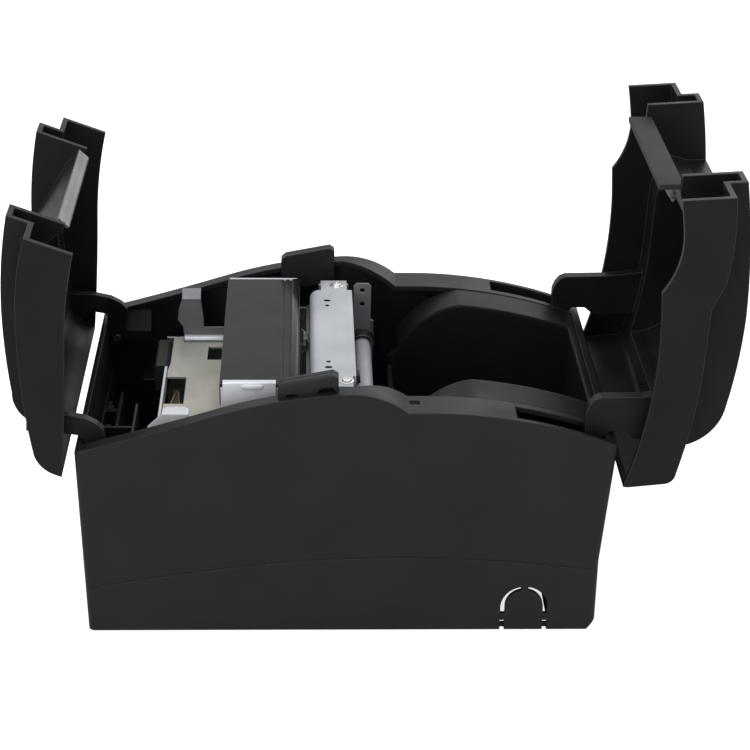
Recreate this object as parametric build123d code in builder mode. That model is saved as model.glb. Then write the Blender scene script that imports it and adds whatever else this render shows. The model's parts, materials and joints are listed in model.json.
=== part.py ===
from build123d import *
import os
from math import cos, radians, sin

# Receipt printer with a ribbon mechanism, both covers standing open.
# X runs across the width, Y from the front to the rear, Z up, in millimetres.
# The origin is the middle of the flat underside of the base plate.
# Cover outlines are drawn as the cover lies when closed, on planes turned open about its hinge.

# Driving dimensions
WIDTH = 160.0
HALF = WIDTH / 2
WALL = 2.4
FIT = 0.05
FRONT_Y = -122.0
REAR_Y = 122.0
HINGE_FRONT = (-115.0, 83.0)
HINGE_REAR = (112.0, 85.0)
FRONT_OPEN_ANGLE = 70.0
REAR_OPEN_ANGLE = -86.4
PIN_R = 2.0
COVER_GAP = 0.65
RAISED_HALF = 62.0
CUT_OUT_HALF = 48.0
FRONT_FREE_END = -16.6
REAR_FREE_END = -15.6
CHASSIS_HALF = 60.0
SHEET = 1.2
DECK_Z = 85.0
HEAD_COVER_Z = 118.0
ROLLER_AXIS = (9.8, 89.0)
FEED_AXIS = (-8.0, 90.0)
FEED_TEETH = 24
PINION_TEETH = 12
GEAR_MODULE = 0.8
BIG = 200.0


def turned_side(hinge, angle):
    """Side plane on which a cover is drawn closed and stands open."""
    turn_cos = cos(radians(angle))
    turn_sin = sin(radians(angle))
    y = hinge[0] - (turn_cos * hinge[0] - turn_sin * hinge[1])
    z = hinge[1] - (turn_sin * hinge[0] + turn_cos * hinge[1])
    return Plane(origin=(0, y, z), x_dir=(0, turn_cos, turn_sin), z_dir=(1, 0, 0))


SIDE = Plane.YZ
FACE = Plane(origin=(0, 0, 0), x_dir=(1, 0, 0), z_dir=(0, -1, 0))
FRONT_SIDE = turned_side(HINGE_FRONT, FRONT_OPEN_ANGLE)
REAR_SIDE = turned_side(HINGE_REAR, REAR_OPEN_ANGLE)


def keep(piece, name):
    """Label a finished piece and write its STEP file."""
    piece.part.label = name
    export_step(piece.part, f"parts/{name}.step")


def slab(points, start, stop, plane=SIDE):
    """A plate with a straight-sided outline, lying between two offsets of its plane."""
    with BuildPart() as plate:
        with BuildSketch(plane.offset(start)):
            Polygon(*points, align=None)
        extrude(amount=stop - start)
    return plate.part


def rod(centre, radius, x_from, x_to, plane=SIDE):
    """A round bar along the width."""
    with BuildPart() as bar:
        with BuildSketch(plane.offset(x_from)):
            with Locations(centre):
                Circle(radius)
        extrude(amount=x_to - x_from)
    return bar.part


def block(x_range, y_range, z_range):
    """A plain block between two limits on each axis."""
    with BuildPart() as solid:
        with BuildSketch(Plane.XY.offset(z_range[0])):
            with Locations(((x_range[0] + x_range[1]) / 2, (y_range[0] + y_range[1]) / 2)):
                Rectangle(x_range[1] - x_range[0], y_range[1] - y_range[0])
        extrude(amount=z_range[1] - z_range[0])
    return solid.part


def both_sides(shape):
    """A shape together with its mirror image on the other side."""
    return [shape, mirror(shape, about=Plane.YZ, mode=Mode.PRIVATE)]


# Top edge of the case, from the front corner over the hump to the rear corner
RIM_START = (FRONT_Y, 93.5)
RIM_SLOPE_MID = (-92.0, 101.8)
RIM_SLOPE_END = (-60.0, 111.6)
RIM_HUMP_MID = (-31.0, 119.0)
RIM_HUMP_TOP = (0.0, 122.6)
RIM_DROP_MID = (15.0, 120.3)
RIM_NOTCH = (27.0, 113.4)
RIM_SHELF = (42.0, 113.4)
RIM_TAIL_MID = (85.0, 108.2)
RIM_END = (REAR_Y, 97.0)


def case_outline(lift=0.0, floor=0.0):
    """Side outline of the case; lift raises the rim, floor lowers the underside."""
    up = Vector(0, lift)
    with BuildSketch() as outline:
        with BuildLine():
            ThreePointArc(up + RIM_START, up + RIM_SLOPE_MID, up + RIM_SLOPE_END)
            ThreePointArc(up + RIM_SLOPE_END, up + RIM_HUMP_MID, up + RIM_HUMP_TOP)
            ThreePointArc(up + RIM_HUMP_TOP, up + RIM_DROP_MID, up + RIM_NOTCH)
            Line(up + RIM_NOTCH, up + RIM_SHELF)
            ThreePointArc(up + RIM_SHELF, up + RIM_TAIL_MID, up + RIM_END)
            Line(up + RIM_END, (117.2, 36.0))
            Line((117.2, 36.0), (117.2, 5.0))
            Line((117.2, 5.0), (113.2, floor))
            Line((113.2, floor), (-119.4, floor))
            Line((-119.4, floor), up + RIM_START)
        make_face()
    return outline.sketch


# Lower case: side walls with a humped rim, a ledge inside the rim, open above and below
LEDGE_FRONT = 7.0
LEDGE_REAR = 17.6
MOUTH_FRONT = -119.2
MOUTH_REAR = 117.2
SLOT_X = (66.0, 77.4)
SLOT_Y = (76.0, 117.0)
GROOVE_DEPTH = 0.6
KNOCK_OUT_Y = 83.4
KNOCK_OUT_Z = 12.2
KNOCK_OUT_R = 11.0
KNOCK_OUT_SLOT = 2.1
KNOCK_OUT_BRIDGE = 3.4
CORNER_R = 3.0
RIM_CUT_FRONT = [(-120.43, 94.56), (-122.57, 91.7), (-124.0, 94.56)]
RIM_CUT_REAR = [(120.44, 98.36), (122.55, 95.0), (124.0, 98.36)]
REAR_EAR_X = (63.2, 65.6)
REAR_EAR = [(119.6, 70.0), (119.9, 92.0), (108.0, 90.0), (107.0, 78.0)]
PIN_BOSS_X = 69.8
PIN_BOSS_R = 3.6
FRONT_BLOCK_Y = (-117.0, -98.0)
FRONT_BLOCK = [(77.8, 94.0), (77.0, 94.0), (72.4, 83.5), (72.4, 78.0), (77.8, 76.0)]
CASE_BOSS_Z = (2.4, 14.0)
CASE_BOSS = (68.6, 77.8)
CASE_BOSS_Y = ((-63.4, -56.6), (56.6, 63.4))
PANEL_WINDOW = ((-46.0, -4.0), (-130.0, -110.0), (44.0, 62.0))
SOCKET_WINDOW = ((-53.0, 32.0), (110.0, 130.0), (6.0, 30.0))
SWITCH_WINDOW = ((-90.0, -70.0), (-103.0, -88.0), (36.0, 58.0))
LEDGE_MARK = ((67.0, 71.0), (28.0, 32.6), (112.4, 130.0))
BAY_RIB_ALONG = ((37.4, 38.6), (-119.4, -98.4), (30.0, 85.0))
BAY_RIB_ACROSS = ((14.0, 60.0), (-99.6, -98.4), (30.0, 85.0))

with BuildPart() as lower_case:
    with BuildSketch(SIDE):
        add(case_outline())
    extrude(amount=HALF, both=True)
    corner_edges = lower_case.edges().filter_by_position(Axis.X, -HALF, -HALF)
    corner_edges += lower_case.edges().filter_by_position(Axis.X, HALF, HALF)
    upright_edges = corner_edges.filter_by(lambda edge: abs(edge.tangent_at(0.5).Z) > 0.9)
    fillet(upright_edges, radius=CORNER_R)
    for corner_cut in (RIM_CUT_FRONT, RIM_CUT_REAR):
        add(slab(corner_cut, -HALF, HALF), mode=Mode.SUBTRACT)
    # Hollow under the ledge, open at the bottom
    with BuildSketch(SIDE):
        offset(case_outline(), amount=-WALL)
        with Locations((-2.2, 0)):
            Rectangle(229.0, 40.0)
    extrude(amount=HALF - WALL, both=True, mode=Mode.SUBTRACT)
    # Mouth: narrow ledge beside the mechanism, wide ledge beside the paper
    with BuildSketch(Plane.XY.offset(60)):
        with BuildLine():
            mouth = Polyline(
                (0, MOUTH_FRONT),
                (HALF - LEDGE_FRONT, MOUTH_FRONT),
                (HALF - LEDGE_FRONT, 0),
                (HALF - LEDGE_REAR + 2.5, 18),
                (HALF - LEDGE_REAR, 26),
                (HALF - LEDGE_REAR, MOUTH_REAR),
                (0, MOUTH_REAR),
            )
            mirror(mouth, about=Plane.YZ)
        make_face()
    extrude(amount=BIG, mode=Mode.SUBTRACT)
    # Slots in the rear ledge, in which the rear cover's arms swing
    for slot in both_sides(block(SLOT_X, SLOT_Y, (90, 130))):
        add(slot, mode=Mode.SUBTRACT)
    # Rear hinge ears, and wedge-shaped blocks with bosses for the front hinge
    front_block = slab(FRONT_BLOCK, -FRONT_BLOCK_Y[1], -FRONT_BLOCK_Y[0], plane=FACE)
    pin_boss = rod(HINGE_FRONT, PIN_BOSS_R, PIN_BOSS_X, HALF - WALL)
    for support in (slab(REAR_EAR, *REAR_EAR_X), front_block, pin_boss):
        for carrier in both_sides(support):
            add(carrier)
    for hinge in (HINGE_FRONT, HINGE_REAR):
        for bore in both_sides(rod(hinge, PIN_R, 58.0, HALF - WALL)):
            add(bore, mode=Mode.SUBTRACT)
    # Groove line along both side walls
    with BuildSketch(SIDE.offset(HALF - GROOVE_DEPTH)) as groove:
        with BuildLine():
            lower_front = ThreePointArc((-119.0, 22.4), (-85.0, 28.6), (-20.0, 37.2))
            lower_rear = ThreePointArc((-20.0, 37.2), (50.0, 38.2), (117.2, 31.6))
            upper_rear = ThreePointArc((117.2, 32.6), (50.0, 39.2), (-20.0, 38.2))
            upper_front = ThreePointArc((-20.0, 38.2), (-85.0, 29.6), (-119.0, 23.4))
            Line(lower_front @ 0, upper_front @ 1)
            Line(lower_rear @ 1, upper_rear @ 0)
        make_face()
    extrude(amount=BIG, mode=Mode.SUBTRACT)
    with BuildSketch(SIDE.offset(GROOVE_DEPTH - HALF)):
        add(groove.sketch_local)
    extrude(amount=-BIG, mode=Mode.SUBTRACT)
    # Cable knock-out in the right wall: an arched slot with three thin bridges
    with BuildSketch(SIDE.offset(HALF - 2 * WALL)):
        with Locations((KNOCK_OUT_Y, KNOCK_OUT_Z)):
            Circle(KNOCK_OUT_R)
            Circle(KNOCK_OUT_R - KNOCK_OUT_SLOT, mode=Mode.SUBTRACT)
        with Locations((KNOCK_OUT_Y, KNOCK_OUT_Z - KNOCK_OUT_R)):
            Rectangle(4 * KNOCK_OUT_R, 2 * KNOCK_OUT_R, mode=Mode.SUBTRACT)
        leg = KNOCK_OUT_R - KNOCK_OUT_SLOT / 2
        with Locations((KNOCK_OUT_Y - leg, KNOCK_OUT_Z / 2), (KNOCK_OUT_Y + leg, KNOCK_OUT_Z / 2)):
            Rectangle(KNOCK_OUT_SLOT, KNOCK_OUT_Z)
        with Locations((KNOCK_OUT_Y, KNOCK_OUT_Z + KNOCK_OUT_R)):
            Rectangle(KNOCK_OUT_BRIDGE, 2 * KNOCK_OUT_SLOT + 2, mode=Mode.SUBTRACT)
        with Locations((KNOCK_OUT_Y, 6.8)):
            Rectangle(3 * KNOCK_OUT_R, KNOCK_OUT_BRIDGE, mode=Mode.SUBTRACT)
    extrude(amount=4 * WALL, mode=Mode.SUBTRACT)
    # Windows for the front panel, the rear sockets and the power switch, and a mark in the near ledge
    for window in (PANEL_WINDOW, SOCKET_WINDOW, SWITCH_WINDOW, LEDGE_MARK):
        add(block(*window), mode=Mode.SUBTRACT)
    # Thin ribs that stand in the ribbon bay
    for rib in (BAY_RIB_ALONG, BAY_RIB_ACROSS):
        add(block(*rib))
    # Bosses that take the screws of the base plate
    for boss_y in CASE_BOSS_Y:
        for boss in both_sides(block(CASE_BOSS, boss_y, CASE_BOSS_Z)):
            add(boss)


# Base plate closing the underside, with posts that carry the mechanism and an opening for the cables
PLATE = 2.4
PLATE_LENGTH = 229.0
PLATE_CENTRE = (0.0, -2.2)
POST_TOP = 18.0
POST_WIDTH = 9.0
POST_SPOTS = [(-50, -74), (50, -74), (-50, -8), (50, -8)]
FOOT_R = 6.0
FOOT_GAP = 0.3
FOOT_SEAT = 0.8
FOOT_DROP = 1.2
FOOT_SPOTS = [(-68, -104), (68, -104), (-68, 104), (68, 104)]
HEAD_R = 3.0
HEAD_GAP = 0.3
HEAD_SEAT = 1.2
HEAD_THICK = 1.0
BASE_SCREW_SPOTS = [(-72, -60), (72, -60), (-72, 60), (72, 60)]
CABLE_OPENING = ((34.0, 76.4), (69.0, 95.6), (-1.0, 5.0))

with BuildPart() as base_plate:
    with BuildSketch():
        with Locations(PLATE_CENTRE):
            Rectangle(2 * (HALF - WALL), PLATE_LENGTH)
    extrude(amount=PLATE)
    with BuildSketch(Plane.XY.offset(PLATE)):
        with Locations(*POST_SPOTS):
            Rectangle(POST_WIDTH, POST_WIDTH)
    extrude(amount=POST_TOP - PLATE)
    add(block(*CABLE_OPENING), mode=Mode.SUBTRACT)
    # Recesses in the underside for the feet and the screw heads
    with BuildSketch():
        with Locations(*FOOT_SPOTS):
            Circle(FOOT_R + FOOT_GAP)
    extrude(amount=FOOT_SEAT, mode=Mode.SUBTRACT)
    with BuildSketch():
        with Locations(*BASE_SCREW_SPOTS):
            Circle(HEAD_R + HEAD_GAP)
    extrude(amount=HEAD_SEAT, mode=Mode.SUBTRACT)

with BuildPart() as rubber_feet:
    with BuildSketch(Plane.XY.offset(-FOOT_DROP)):
        with Locations(*FOOT_SPOTS):
            Circle(FOOT_R)
    extrude(amount=FOOT_DROP + FOOT_SEAT)

with BuildPart() as base_screws:
    with BuildSketch(Plane.XY.offset(HEAD_SEAT - HEAD_THICK)):
        with Locations(*BASE_SCREW_SPOTS):
            Circle(HEAD_R)
    extrude(amount=HEAD_THICK)

# Paper bucket: a trough for the roll with arched shoulders on both sides
BUCKET_HALF = 42.0
BUCKET_WALL = 2.2
TROUGH_CENTRE = (69.0, 60.0)
TROUGH_R = 44.0
ARCH_START = (27.5, 88.0)
ARCH_MID = (39.6, 104.0)
ARCH_TOP = (58.0, 112.0)
SHOULDER_MID = (85.0, 107.9)
SHOULDER_END = (117.2, 98.5)
BUCKET_BACK = 115.4
BUCKET_FRONT = 22.6
BUCKET_FLOOR = 13.6
SHOULDER_LIP = (117.2, 96.2)
BUCKET_BACK_TURN = (BUCKET_BACK, TROUGH_CENTRE[1])
BUCKET_FRONT_TURN = (BUCKET_FRONT, TROUGH_CENTRE[1])


def bucket_outline():
    """Outline of the bucket's side plates."""
    with BuildSketch() as outline:
        with BuildLine():
            ThreePointArc(ARCH_START, ARCH_MID, ARCH_TOP)
            ThreePointArc(ARCH_TOP, SHOULDER_MID, SHOULDER_END)
            Polyline(SHOULDER_END, SHOULDER_LIP, (BUCKET_BACK, 92.0), BUCKET_BACK_TURN)
            ThreePointArc(BUCKET_BACK_TURN, (TROUGH_CENTRE[0], BUCKET_FLOOR), BUCKET_FRONT_TURN)
            Polyline(BUCKET_FRONT_TURN, (BUCKET_FRONT, 84.0), ARCH_START)
        make_face()
    return outline.sketch


with BuildPart() as paper_bucket:
    with BuildSketch(SIDE):
        add(bucket_outline())
    extrude(amount=BUCKET_HALF + BUCKET_WALL, both=True)
    with BuildSketch(SIDE):
        with Locations(TROUGH_CENTRE):
            Circle(TROUGH_R)
        with Locations((TROUGH_CENTRE[0], 110)):
            Rectangle(2 * TROUGH_R, 100)
        with Locations((30.0, 98)):
            Rectangle(20, 40)
    extrude(amount=BUCKET_HALF, both=True, mode=Mode.SUBTRACT)
    # Shoulders that reach from the side plates to the ledge of the case
    shoulder_width = HALF - LEDGE_REAR - BUCKET_HALF
    for side in (1, -1):
        with BuildSketch(SIDE.offset(side * BUCKET_HALF)):
            with BuildLine():
                ThreePointArc(ARCH_START, ARCH_MID, ARCH_TOP)
                ThreePointArc(ARCH_TOP, SHOULDER_MID, SHOULDER_END)
                Line(SHOULDER_END, SHOULDER_LIP)
                ThreePointArc(SHOULDER_LIP, (84.2, 105.7), (58.6, 109.6))
                ThreePointArc((58.6, 109.6), (41.4, 102.2), (29.7, 87.2))
                Line((29.7, 87.2), ARCH_START)
            make_face()
        extrude(amount=side * shoulder_width)


def cover_clearance(plane):
    """The case with a small gap over its rim, cut away from a closed cover."""
    with BuildPart() as clearance:
        with BuildSketch(plane):
            add(case_outline(lift=COVER_GAP, floor=20.0))
        extrude(amount=BIG, both=True)
    return clearance.part


# Front cover: shoulders, raised middle, scoop for the paper and two hinge arms
EDGE = 1.0
FRONT_ARM_X = (65.0, 69.0)
ARM_BOSS_R = 4.0
FRONT_ARM = [
    (-118.4, 83.0), (-118.4, 93.6), (-120.4, 96.6), (-125.0, 97.4), (-144.0, 99.0), (-143.4, 108.0),
    (-125.0, 106.8), (-117.5, 105.2), (-112.4, 102.4), (-109.4, 99.4), (-108.9, 95.5), (-109.9, 90.0),
    (-111.0, 83.0),
]
FRONT_SCOOP = [
    (-64.5, 140.8), (-60.0, 138.8), (-45.0, 136.2), (-27.0, 133.0), (-19.9, 128.4), (FRONT_FREE_END, 128.4),
    (FRONT_FREE_END, 152.0), (-40.0, 147.8),
]
FRONT_SCOOP_CUT = [
    (-63.0, 142.2), (-45.0, 138.6), (-27.0, 135.4), (-18.6, 131.3), (-19.9, 128.4), (-19.9, 120.0),
    (-5.0, 120.0), (-5.0, 165.0), (-63.0, 165.0),
]

with BuildPart() as front_raised:
    with BuildSketch(FRONT_SIDE) as front_middle:
        with BuildLine():
            Line((-110.0, 108.0), (-107.5, 118.0))
            ThreePointArc((-107.5, 118.0), (-104.0, 123.2), (-97.5, 127.0))
            ThreePointArc((-97.5, 127.0), (-82.0, 134.3), (-65.0, 141.2))
            ThreePointArc((-65.0, 141.2), (-40.0, 149.0), (-5.0, 155.2))
            Polyline((-5.0, 155.2), (-5.0, 108.0), (-110.0, 108.0))
        make_face()
    extrude(amount=RAISED_HALF, both=True)

with BuildPart() as front_cover:
    with BuildSketch(FRONT_SIDE) as front_shoulders:
        with BuildLine():
            Line((-121.4, 80), (-120.9, 98.5))
            ThreePointArc((-120.9, 98.5), (-119.2, 104.2), (-114.7, 109.3))
            ThreePointArc((-114.7, 109.3), (-90.0, 122.0), (-60.0, 134.0))
            ThreePointArc((-60.0, 134.0), (-37.0, 140.9), (-5.0, 144.0))
            Polyline((-5.0, 144.0), (-5.0, 80), (-121.4, 80))
        make_face()
    extrude(amount=HALF, both=True)
    add(front_raised.part)
    with BuildSketch(FRONT_SIDE):
        offset(front_shoulders.sketch_local, amount=-WALL)
    extrude(amount=HALF - WALL, both=True, mode=Mode.SUBTRACT)
    with BuildSketch(FRONT_SIDE):
        offset(front_middle.sketch_local, amount=-WALL)
    extrude(amount=RAISED_HALF - WALL, both=True, mode=Mode.SUBTRACT)
    # Scoop in which the printed paper comes up
    add(slab(FRONT_SCOOP, -CUT_OUT_HALF - WALL, CUT_OUT_HALF + WALL, plane=FRONT_SIDE))
    add(slab(FRONT_SCOOP_CUT, -CUT_OUT_HALF, CUT_OUT_HALF, plane=FRONT_SIDE), mode=Mode.SUBTRACT)
    # Open free end
    with BuildSketch(FRONT_SIDE):
        Polygon((FRONT_FREE_END, 60), (20, 60), (20, 180), (FRONT_FREE_END, 180), align=None)
    extrude(amount=BIG, both=True, mode=Mode.SUBTRACT)
    add(cover_clearance(FRONT_SIDE), mode=Mode.SUBTRACT)
    # Arms over the front wall, drawn as they stand open
    for arm in (slab(FRONT_ARM, *FRONT_ARM_X), rod(HINGE_FRONT, ARM_BOSS_R, *FRONT_ARM_X)):
        for copy in both_sides(arm):
            add(copy)
    for bore in both_sides(rod(HINGE_FRONT, PIN_R + FIT, 60, 79)):
        add(bore, mode=Mode.SUBTRACT)

# Rear cover: the same section at its free end, with a deeper rear wall
REAR_ARM_X = (66.4, 71.6)
REAR_ARM = [
    (107.8, 85.0), (107.6, 109.6), (109.0, 113.2), (111.2, 116.0), (114.0, 117.2), (133.0, 117.6),
    (155.0, 120.0), (154.0, 98.0), (133.0, 96.0), (128.5, 97.0), (124.5, 100.2), (118.4, 100.2),
    (116.2, 98.6), (116.2, 85.0),
]
REAR_SCOOP = [
    (REAR_FREE_END, 127.0), (-8.1, 126.1), (3.0, 128.2), (12.8, 136.8), (16.0, 146.0), (16.9, 154.2),
    (REAR_FREE_END, 152.4),
]
REAR_SCOOP_CUT = [
    (-30.0, 120.0), (-8.1, 120.0), (-8.1, 128.4), (2.0, 130.5), (10.5, 138.0), (13.5, 146.0),
    (14.5, 165.0), (-30.0, 165.0),
]

with BuildPart() as rear_raised:
    with BuildSketch(REAR_SIDE) as rear_middle:
        with BuildLine():
            Line((112.6, 112.0), (111.6, 128.5))
            ThreePointArc((111.6, 128.5), (106.5, 139.0), (93.4, 147.0))
            ThreePointArc((93.4, 147.0), (72.0, 151.8), (48.0, 155.0))
            ThreePointArc((48.0, 155.0), (12.0, 155.6), (-30.0, 152.0))
            Polyline((-30.0, 152.0), (-30.0, 112.0), (112.6, 112.0))
        make_face()
    extrude(amount=RAISED_HALF, both=True)

with BuildPart() as rear_cover:
    with BuildSketch(REAR_SIDE) as rear_shoulders:
        with BuildLine():
            Line((119.0, 80), (122.0, 100.0))
            Line((122.0, 100.0), (121.3, 116.5))
            ThreePointArc((121.3, 116.5), (120.0, 119.8), (116.8, 121.6))
            ThreePointArc((116.8, 121.6), (95.0, 127.6), (68.4, 132.6))
            Line((68.4, 132.6), (36.0, 135.8))
            Line((36.0, 135.8), (24.5, 141.8))
            ThreePointArc((24.5, 141.8), (2.0, 145.4), (-30.0, 143.6))
            Polyline((-30.0, 143.6), (-30.0, 80), (119.0, 80))
        make_face()
    extrude(amount=HALF, both=True)
    add(rear_raised.part)
    with BuildSketch(REAR_SIDE):
        offset(rear_shoulders.sketch_local, amount=-WALL)
    extrude(amount=HALF - WALL, both=True, mode=Mode.SUBTRACT)
    with BuildSketch(REAR_SIDE):
        offset(rear_middle.sketch_local, amount=-WALL)
    extrude(amount=RAISED_HALF - WALL, both=True, mode=Mode.SUBTRACT)
    # Scoop behind the slot
    add(slab(REAR_SCOOP, -CUT_OUT_HALF - WALL, CUT_OUT_HALF + WALL, plane=REAR_SIDE))
    add(slab(REAR_SCOOP_CUT, -CUT_OUT_HALF, CUT_OUT_HALF, plane=REAR_SIDE), mode=Mode.SUBTRACT)
    with BuildSketch(REAR_SIDE):
        Polygon((REAR_FREE_END, 60), (-40, 60), (-40, 180), (REAR_FREE_END, 180), align=None)
    extrude(amount=BIG, both=True, mode=Mode.SUBTRACT)
    add(cover_clearance(REAR_SIDE), mode=Mode.SUBTRACT)
    # Arms through the slots of the ledge and over the rear wall, drawn as they stand open
    for arm in (slab(REAR_ARM, *REAR_ARM_X), rod(HINGE_REAR, ARM_BOSS_R, *REAR_ARM_X)):
        for copy in both_sides(arm):
            add(copy)
    for bore in both_sides(rod(HINGE_REAR, PIN_R + FIT, 60, 79)):
        add(bore, mode=Mode.SUBTRACT)

# Hinge pins, pressed into the blocks and ears of the case
PIN_END = 1.0

with BuildPart() as front_hinge_pins:
    for pin in both_sides(rod(HINGE_FRONT, PIN_R, FRONT_ARM_X[0] - PIN_END, HALF - WALL)):
        add(pin)

with BuildPart() as rear_hinge_pins:
    for pin in both_sides(rod(HINGE_REAR, PIN_R, REAR_EAR_X[0] - PIN_END, HALF - WALL)):
        add(pin)

# Tear bar on the front cover, with a serrated edge
TEAR_TOP = Vector(-18.1, 132.2)
TEAR_TIP = Vector(-20.7, 126.4)
TEAR_HALF = 45.0
TEAR_THICK = 1.25
TOOTH_PITCH = 2.25
TOOTH_HEIGHT = 1.1
TOOTH_COUNT = round(2 * TEAR_HALF / TOOTH_PITCH)

tear_lean = (TEAR_TIP - TEAR_TOP).normalized()
tear_normal = FRONT_SIDE.x_dir * -tear_lean.Y + FRONT_SIDE.y_dir * tear_lean.X
tear_root = (TEAR_TIP - TEAR_TOP).length - TOOTH_HEIGHT
TEAR_PLANE = Plane(origin=FRONT_SIDE.from_local_coords(TEAR_TOP), x_dir=(1, 0, 0), z_dir=tear_normal)

with BuildPart() as tear_bar:
    with BuildSketch(TEAR_PLANE):
        with Locations((0, tear_root / 2)):
            Rectangle(2 * TEAR_HALF, tear_root)
        with Locations((0, tear_root)):
            with GridLocations(TOOTH_PITCH, 1, TOOTH_COUNT, 1):
                Polygon((-TOOTH_PITCH / 2, 0), (TOOTH_PITCH / 2, 0), (0, TOOTH_HEIGHT), align=None)
    extrude(amount=TEAR_THICK)

# Plate along the slot of the rear cover, held by a small pointed clip at the near end
SLOT_PLATE_HALF = 46.4
CLIP_X = (44.6, 45.8)

with BuildPart() as slot_plate:
    add(slab(
        [(-10.7, 117.4), (-8.1, 117.4), (-8.1, 128.4), (-10.1, 128.4)],
        -SLOT_PLATE_HALF, SLOT_PLATE_HALF, plane=REAR_SIDE,
    ))

with BuildPart() as plate_clip:
    add(slab([(-8.1, 120.0), (-8.1, 125.2), (-3.1, 124.9), (-1.8, 123.5)], *CLIP_X, plane=REAR_SIDE))

# Side tabs that guide both covers
with BuildPart() as right_side_tab:
    add(slab([(-31, 108), (-31, 124.2), (-28.6, 126.2), (-6.4, 130.6), (-4, 129), (-4, 112)], 70.4, 73.0))

with BuildPart() as left_side_tab:
    add(mirror(right_side_tab.part, about=Plane.YZ, mode=Mode.PRIVATE))


# Chassis of the mechanism: a base sheet and two upright side plates
CHASSIS_FRONT = -90.0
CHASSIS_BACK = 16.0
CHASSIS_FLOOR = POST_TOP + SHEET
GUIDE_SEAT_Z = 115.8
FRONT_SHAFT = (-45.0, 99.0)
REAR_SHAFT = (-32.0, 99.0)
MOTOR_ANGLE = -110.0
GEAR_DISTANCE = GEAR_MODULE * (FEED_TEETH + PINION_TEETH) / 2 + 0.2
MOTOR_AXIS = (
    FEED_AXIS[0] + GEAR_DISTANCE * cos(radians(MOTOR_ANGLE)),
    FEED_AXIS[1] + GEAR_DISTANCE * sin(radians(MOTOR_ANGLE)),
)
FEED_SHAFT_R = 2.0
MOTOR_SHAFT_R = 1.0
SIDE_PLATE_OUTLINE = [
    (CHASSIS_FRONT, CHASSIS_FLOOR), (CHASSIS_FRONT, 80), (-89, DECK_Z + SHEET), (-60, DECK_Z + SHEET),
    (-57, 90), (-57, HEAD_COVER_Z - 1.5), (-21.5, HEAD_COVER_Z - 1.5), (-21.5, 103), (-12, 103),
    (-12, GUIDE_SEAT_Z), (3, GUIDE_SEAT_Z), (3, 100), (CHASSIS_BACK, 96), (CHASSIS_BACK, CHASSIS_FLOOR),
]

with BuildPart() as chassis_base:
    add(block((-CHASSIS_HALF, CHASSIS_HALF), (CHASSIS_FRONT, CHASSIS_BACK), (POST_TOP, CHASSIS_FLOOR)))

with BuildPart() as chassis_side_right:
    add(slab(SIDE_PLATE_OUTLINE, CHASSIS_HALF - SHEET, CHASSIS_HALF))
    add(rod(FEED_AXIS, FEED_SHAFT_R + FIT, 50, 70), mode=Mode.SUBTRACT)
    # Long embossed rib under the top edge
    with BuildSketch(SIDE.offset(CHASSIS_HALF)):
        with Locations((-43.5, 109.6)):
            SlotOverall(11.0, 2.0)
    extrude(amount=0.9)

with BuildPart() as chassis_side_left:
    add(slab(SIDE_PLATE_OUTLINE, -CHASSIS_HALF, SHEET - CHASSIS_HALF))
    add(rod(FEED_AXIS, FEED_SHAFT_R + FIT, -70, -50), mode=Mode.SUBTRACT)
    add(rod(MOTOR_AXIS, MOTOR_SHAFT_R + 0.5, -70, -50), mode=Mode.SUBTRACT)

with BuildPart() as mechanism_screws:
    with BuildSketch(Plane.XY.offset(CHASSIS_FLOOR)):
        with Locations(*POST_SPOTS):
            RegularPolygon(HEAD_R, 6)
    extrude(amount=2 * HEAD_THICK)

# Zinc deck in the ribbon bay, with a window at its front edge and a slot
DECK_INNER = CHASSIS_HALF - SHEET
DECK_TOP = DECK_Z + SHEET
DECK_FRONT = -86.4
DECK_STEP = -85.4
DECK_REAR = -59.0
DECK_OUTLINE = [
    (-DECK_INNER, DECK_STEP), (-28.0, DECK_STEP), (-21.0, DECK_FRONT), (DECK_INNER, DECK_FRONT),
    (DECK_INNER, DECK_REAR), (-DECK_INNER, DECK_REAR),
]
DECK_WINDOW = ((-13.0, 16.5), (-90.0, -76.8), (70.0, 95.0))
DECK_SLOT = ((-48.0, -32.5), (-67.5, -59.5), (70.0, 95.0))
SPINDLE_SPOT = (48, -66)
SPINDLE_R = 1.5

with BuildPart() as zinc_deck:
    add(slab(DECK_OUTLINE, DECK_Z, DECK_TOP, plane=Plane.XY))
    for gap in (DECK_WINDOW, DECK_SLOT):
        add(block(*gap), mode=Mode.SUBTRACT)
    with Locations((*SPINDLE_SPOT, DECK_TOP)):
        Hole(radius=SPINDLE_R + FIT, depth=2 * SHEET)

# Brass leaf spring under the window, hung from the deck by a rivet
SPRING_Z = (79.0, 80.0)
RIVET_SPOT = (20.0, -79.0)
RIVET_R = 1.6
SPRING_OUTLINE = [
    (23.0, -83.0), (23.0, -76.0), (16.0, -76.0), (4.0, -79.6), (-12.0, -79.6), (-12.0, -83.2), (3.0, -83.2),
    (15.0, -83.0),
]

with BuildPart() as ribbon_spring:
    add(slab(SPRING_OUTLINE, *SPRING_Z, plane=Plane.XY))
    with BuildSketch(Plane.XY.offset(SPRING_Z[1])):
        with Locations(RIVET_SPOT):
            Circle(RIVET_R)
    extrude(amount=DECK_Z - SPRING_Z[1])

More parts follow.
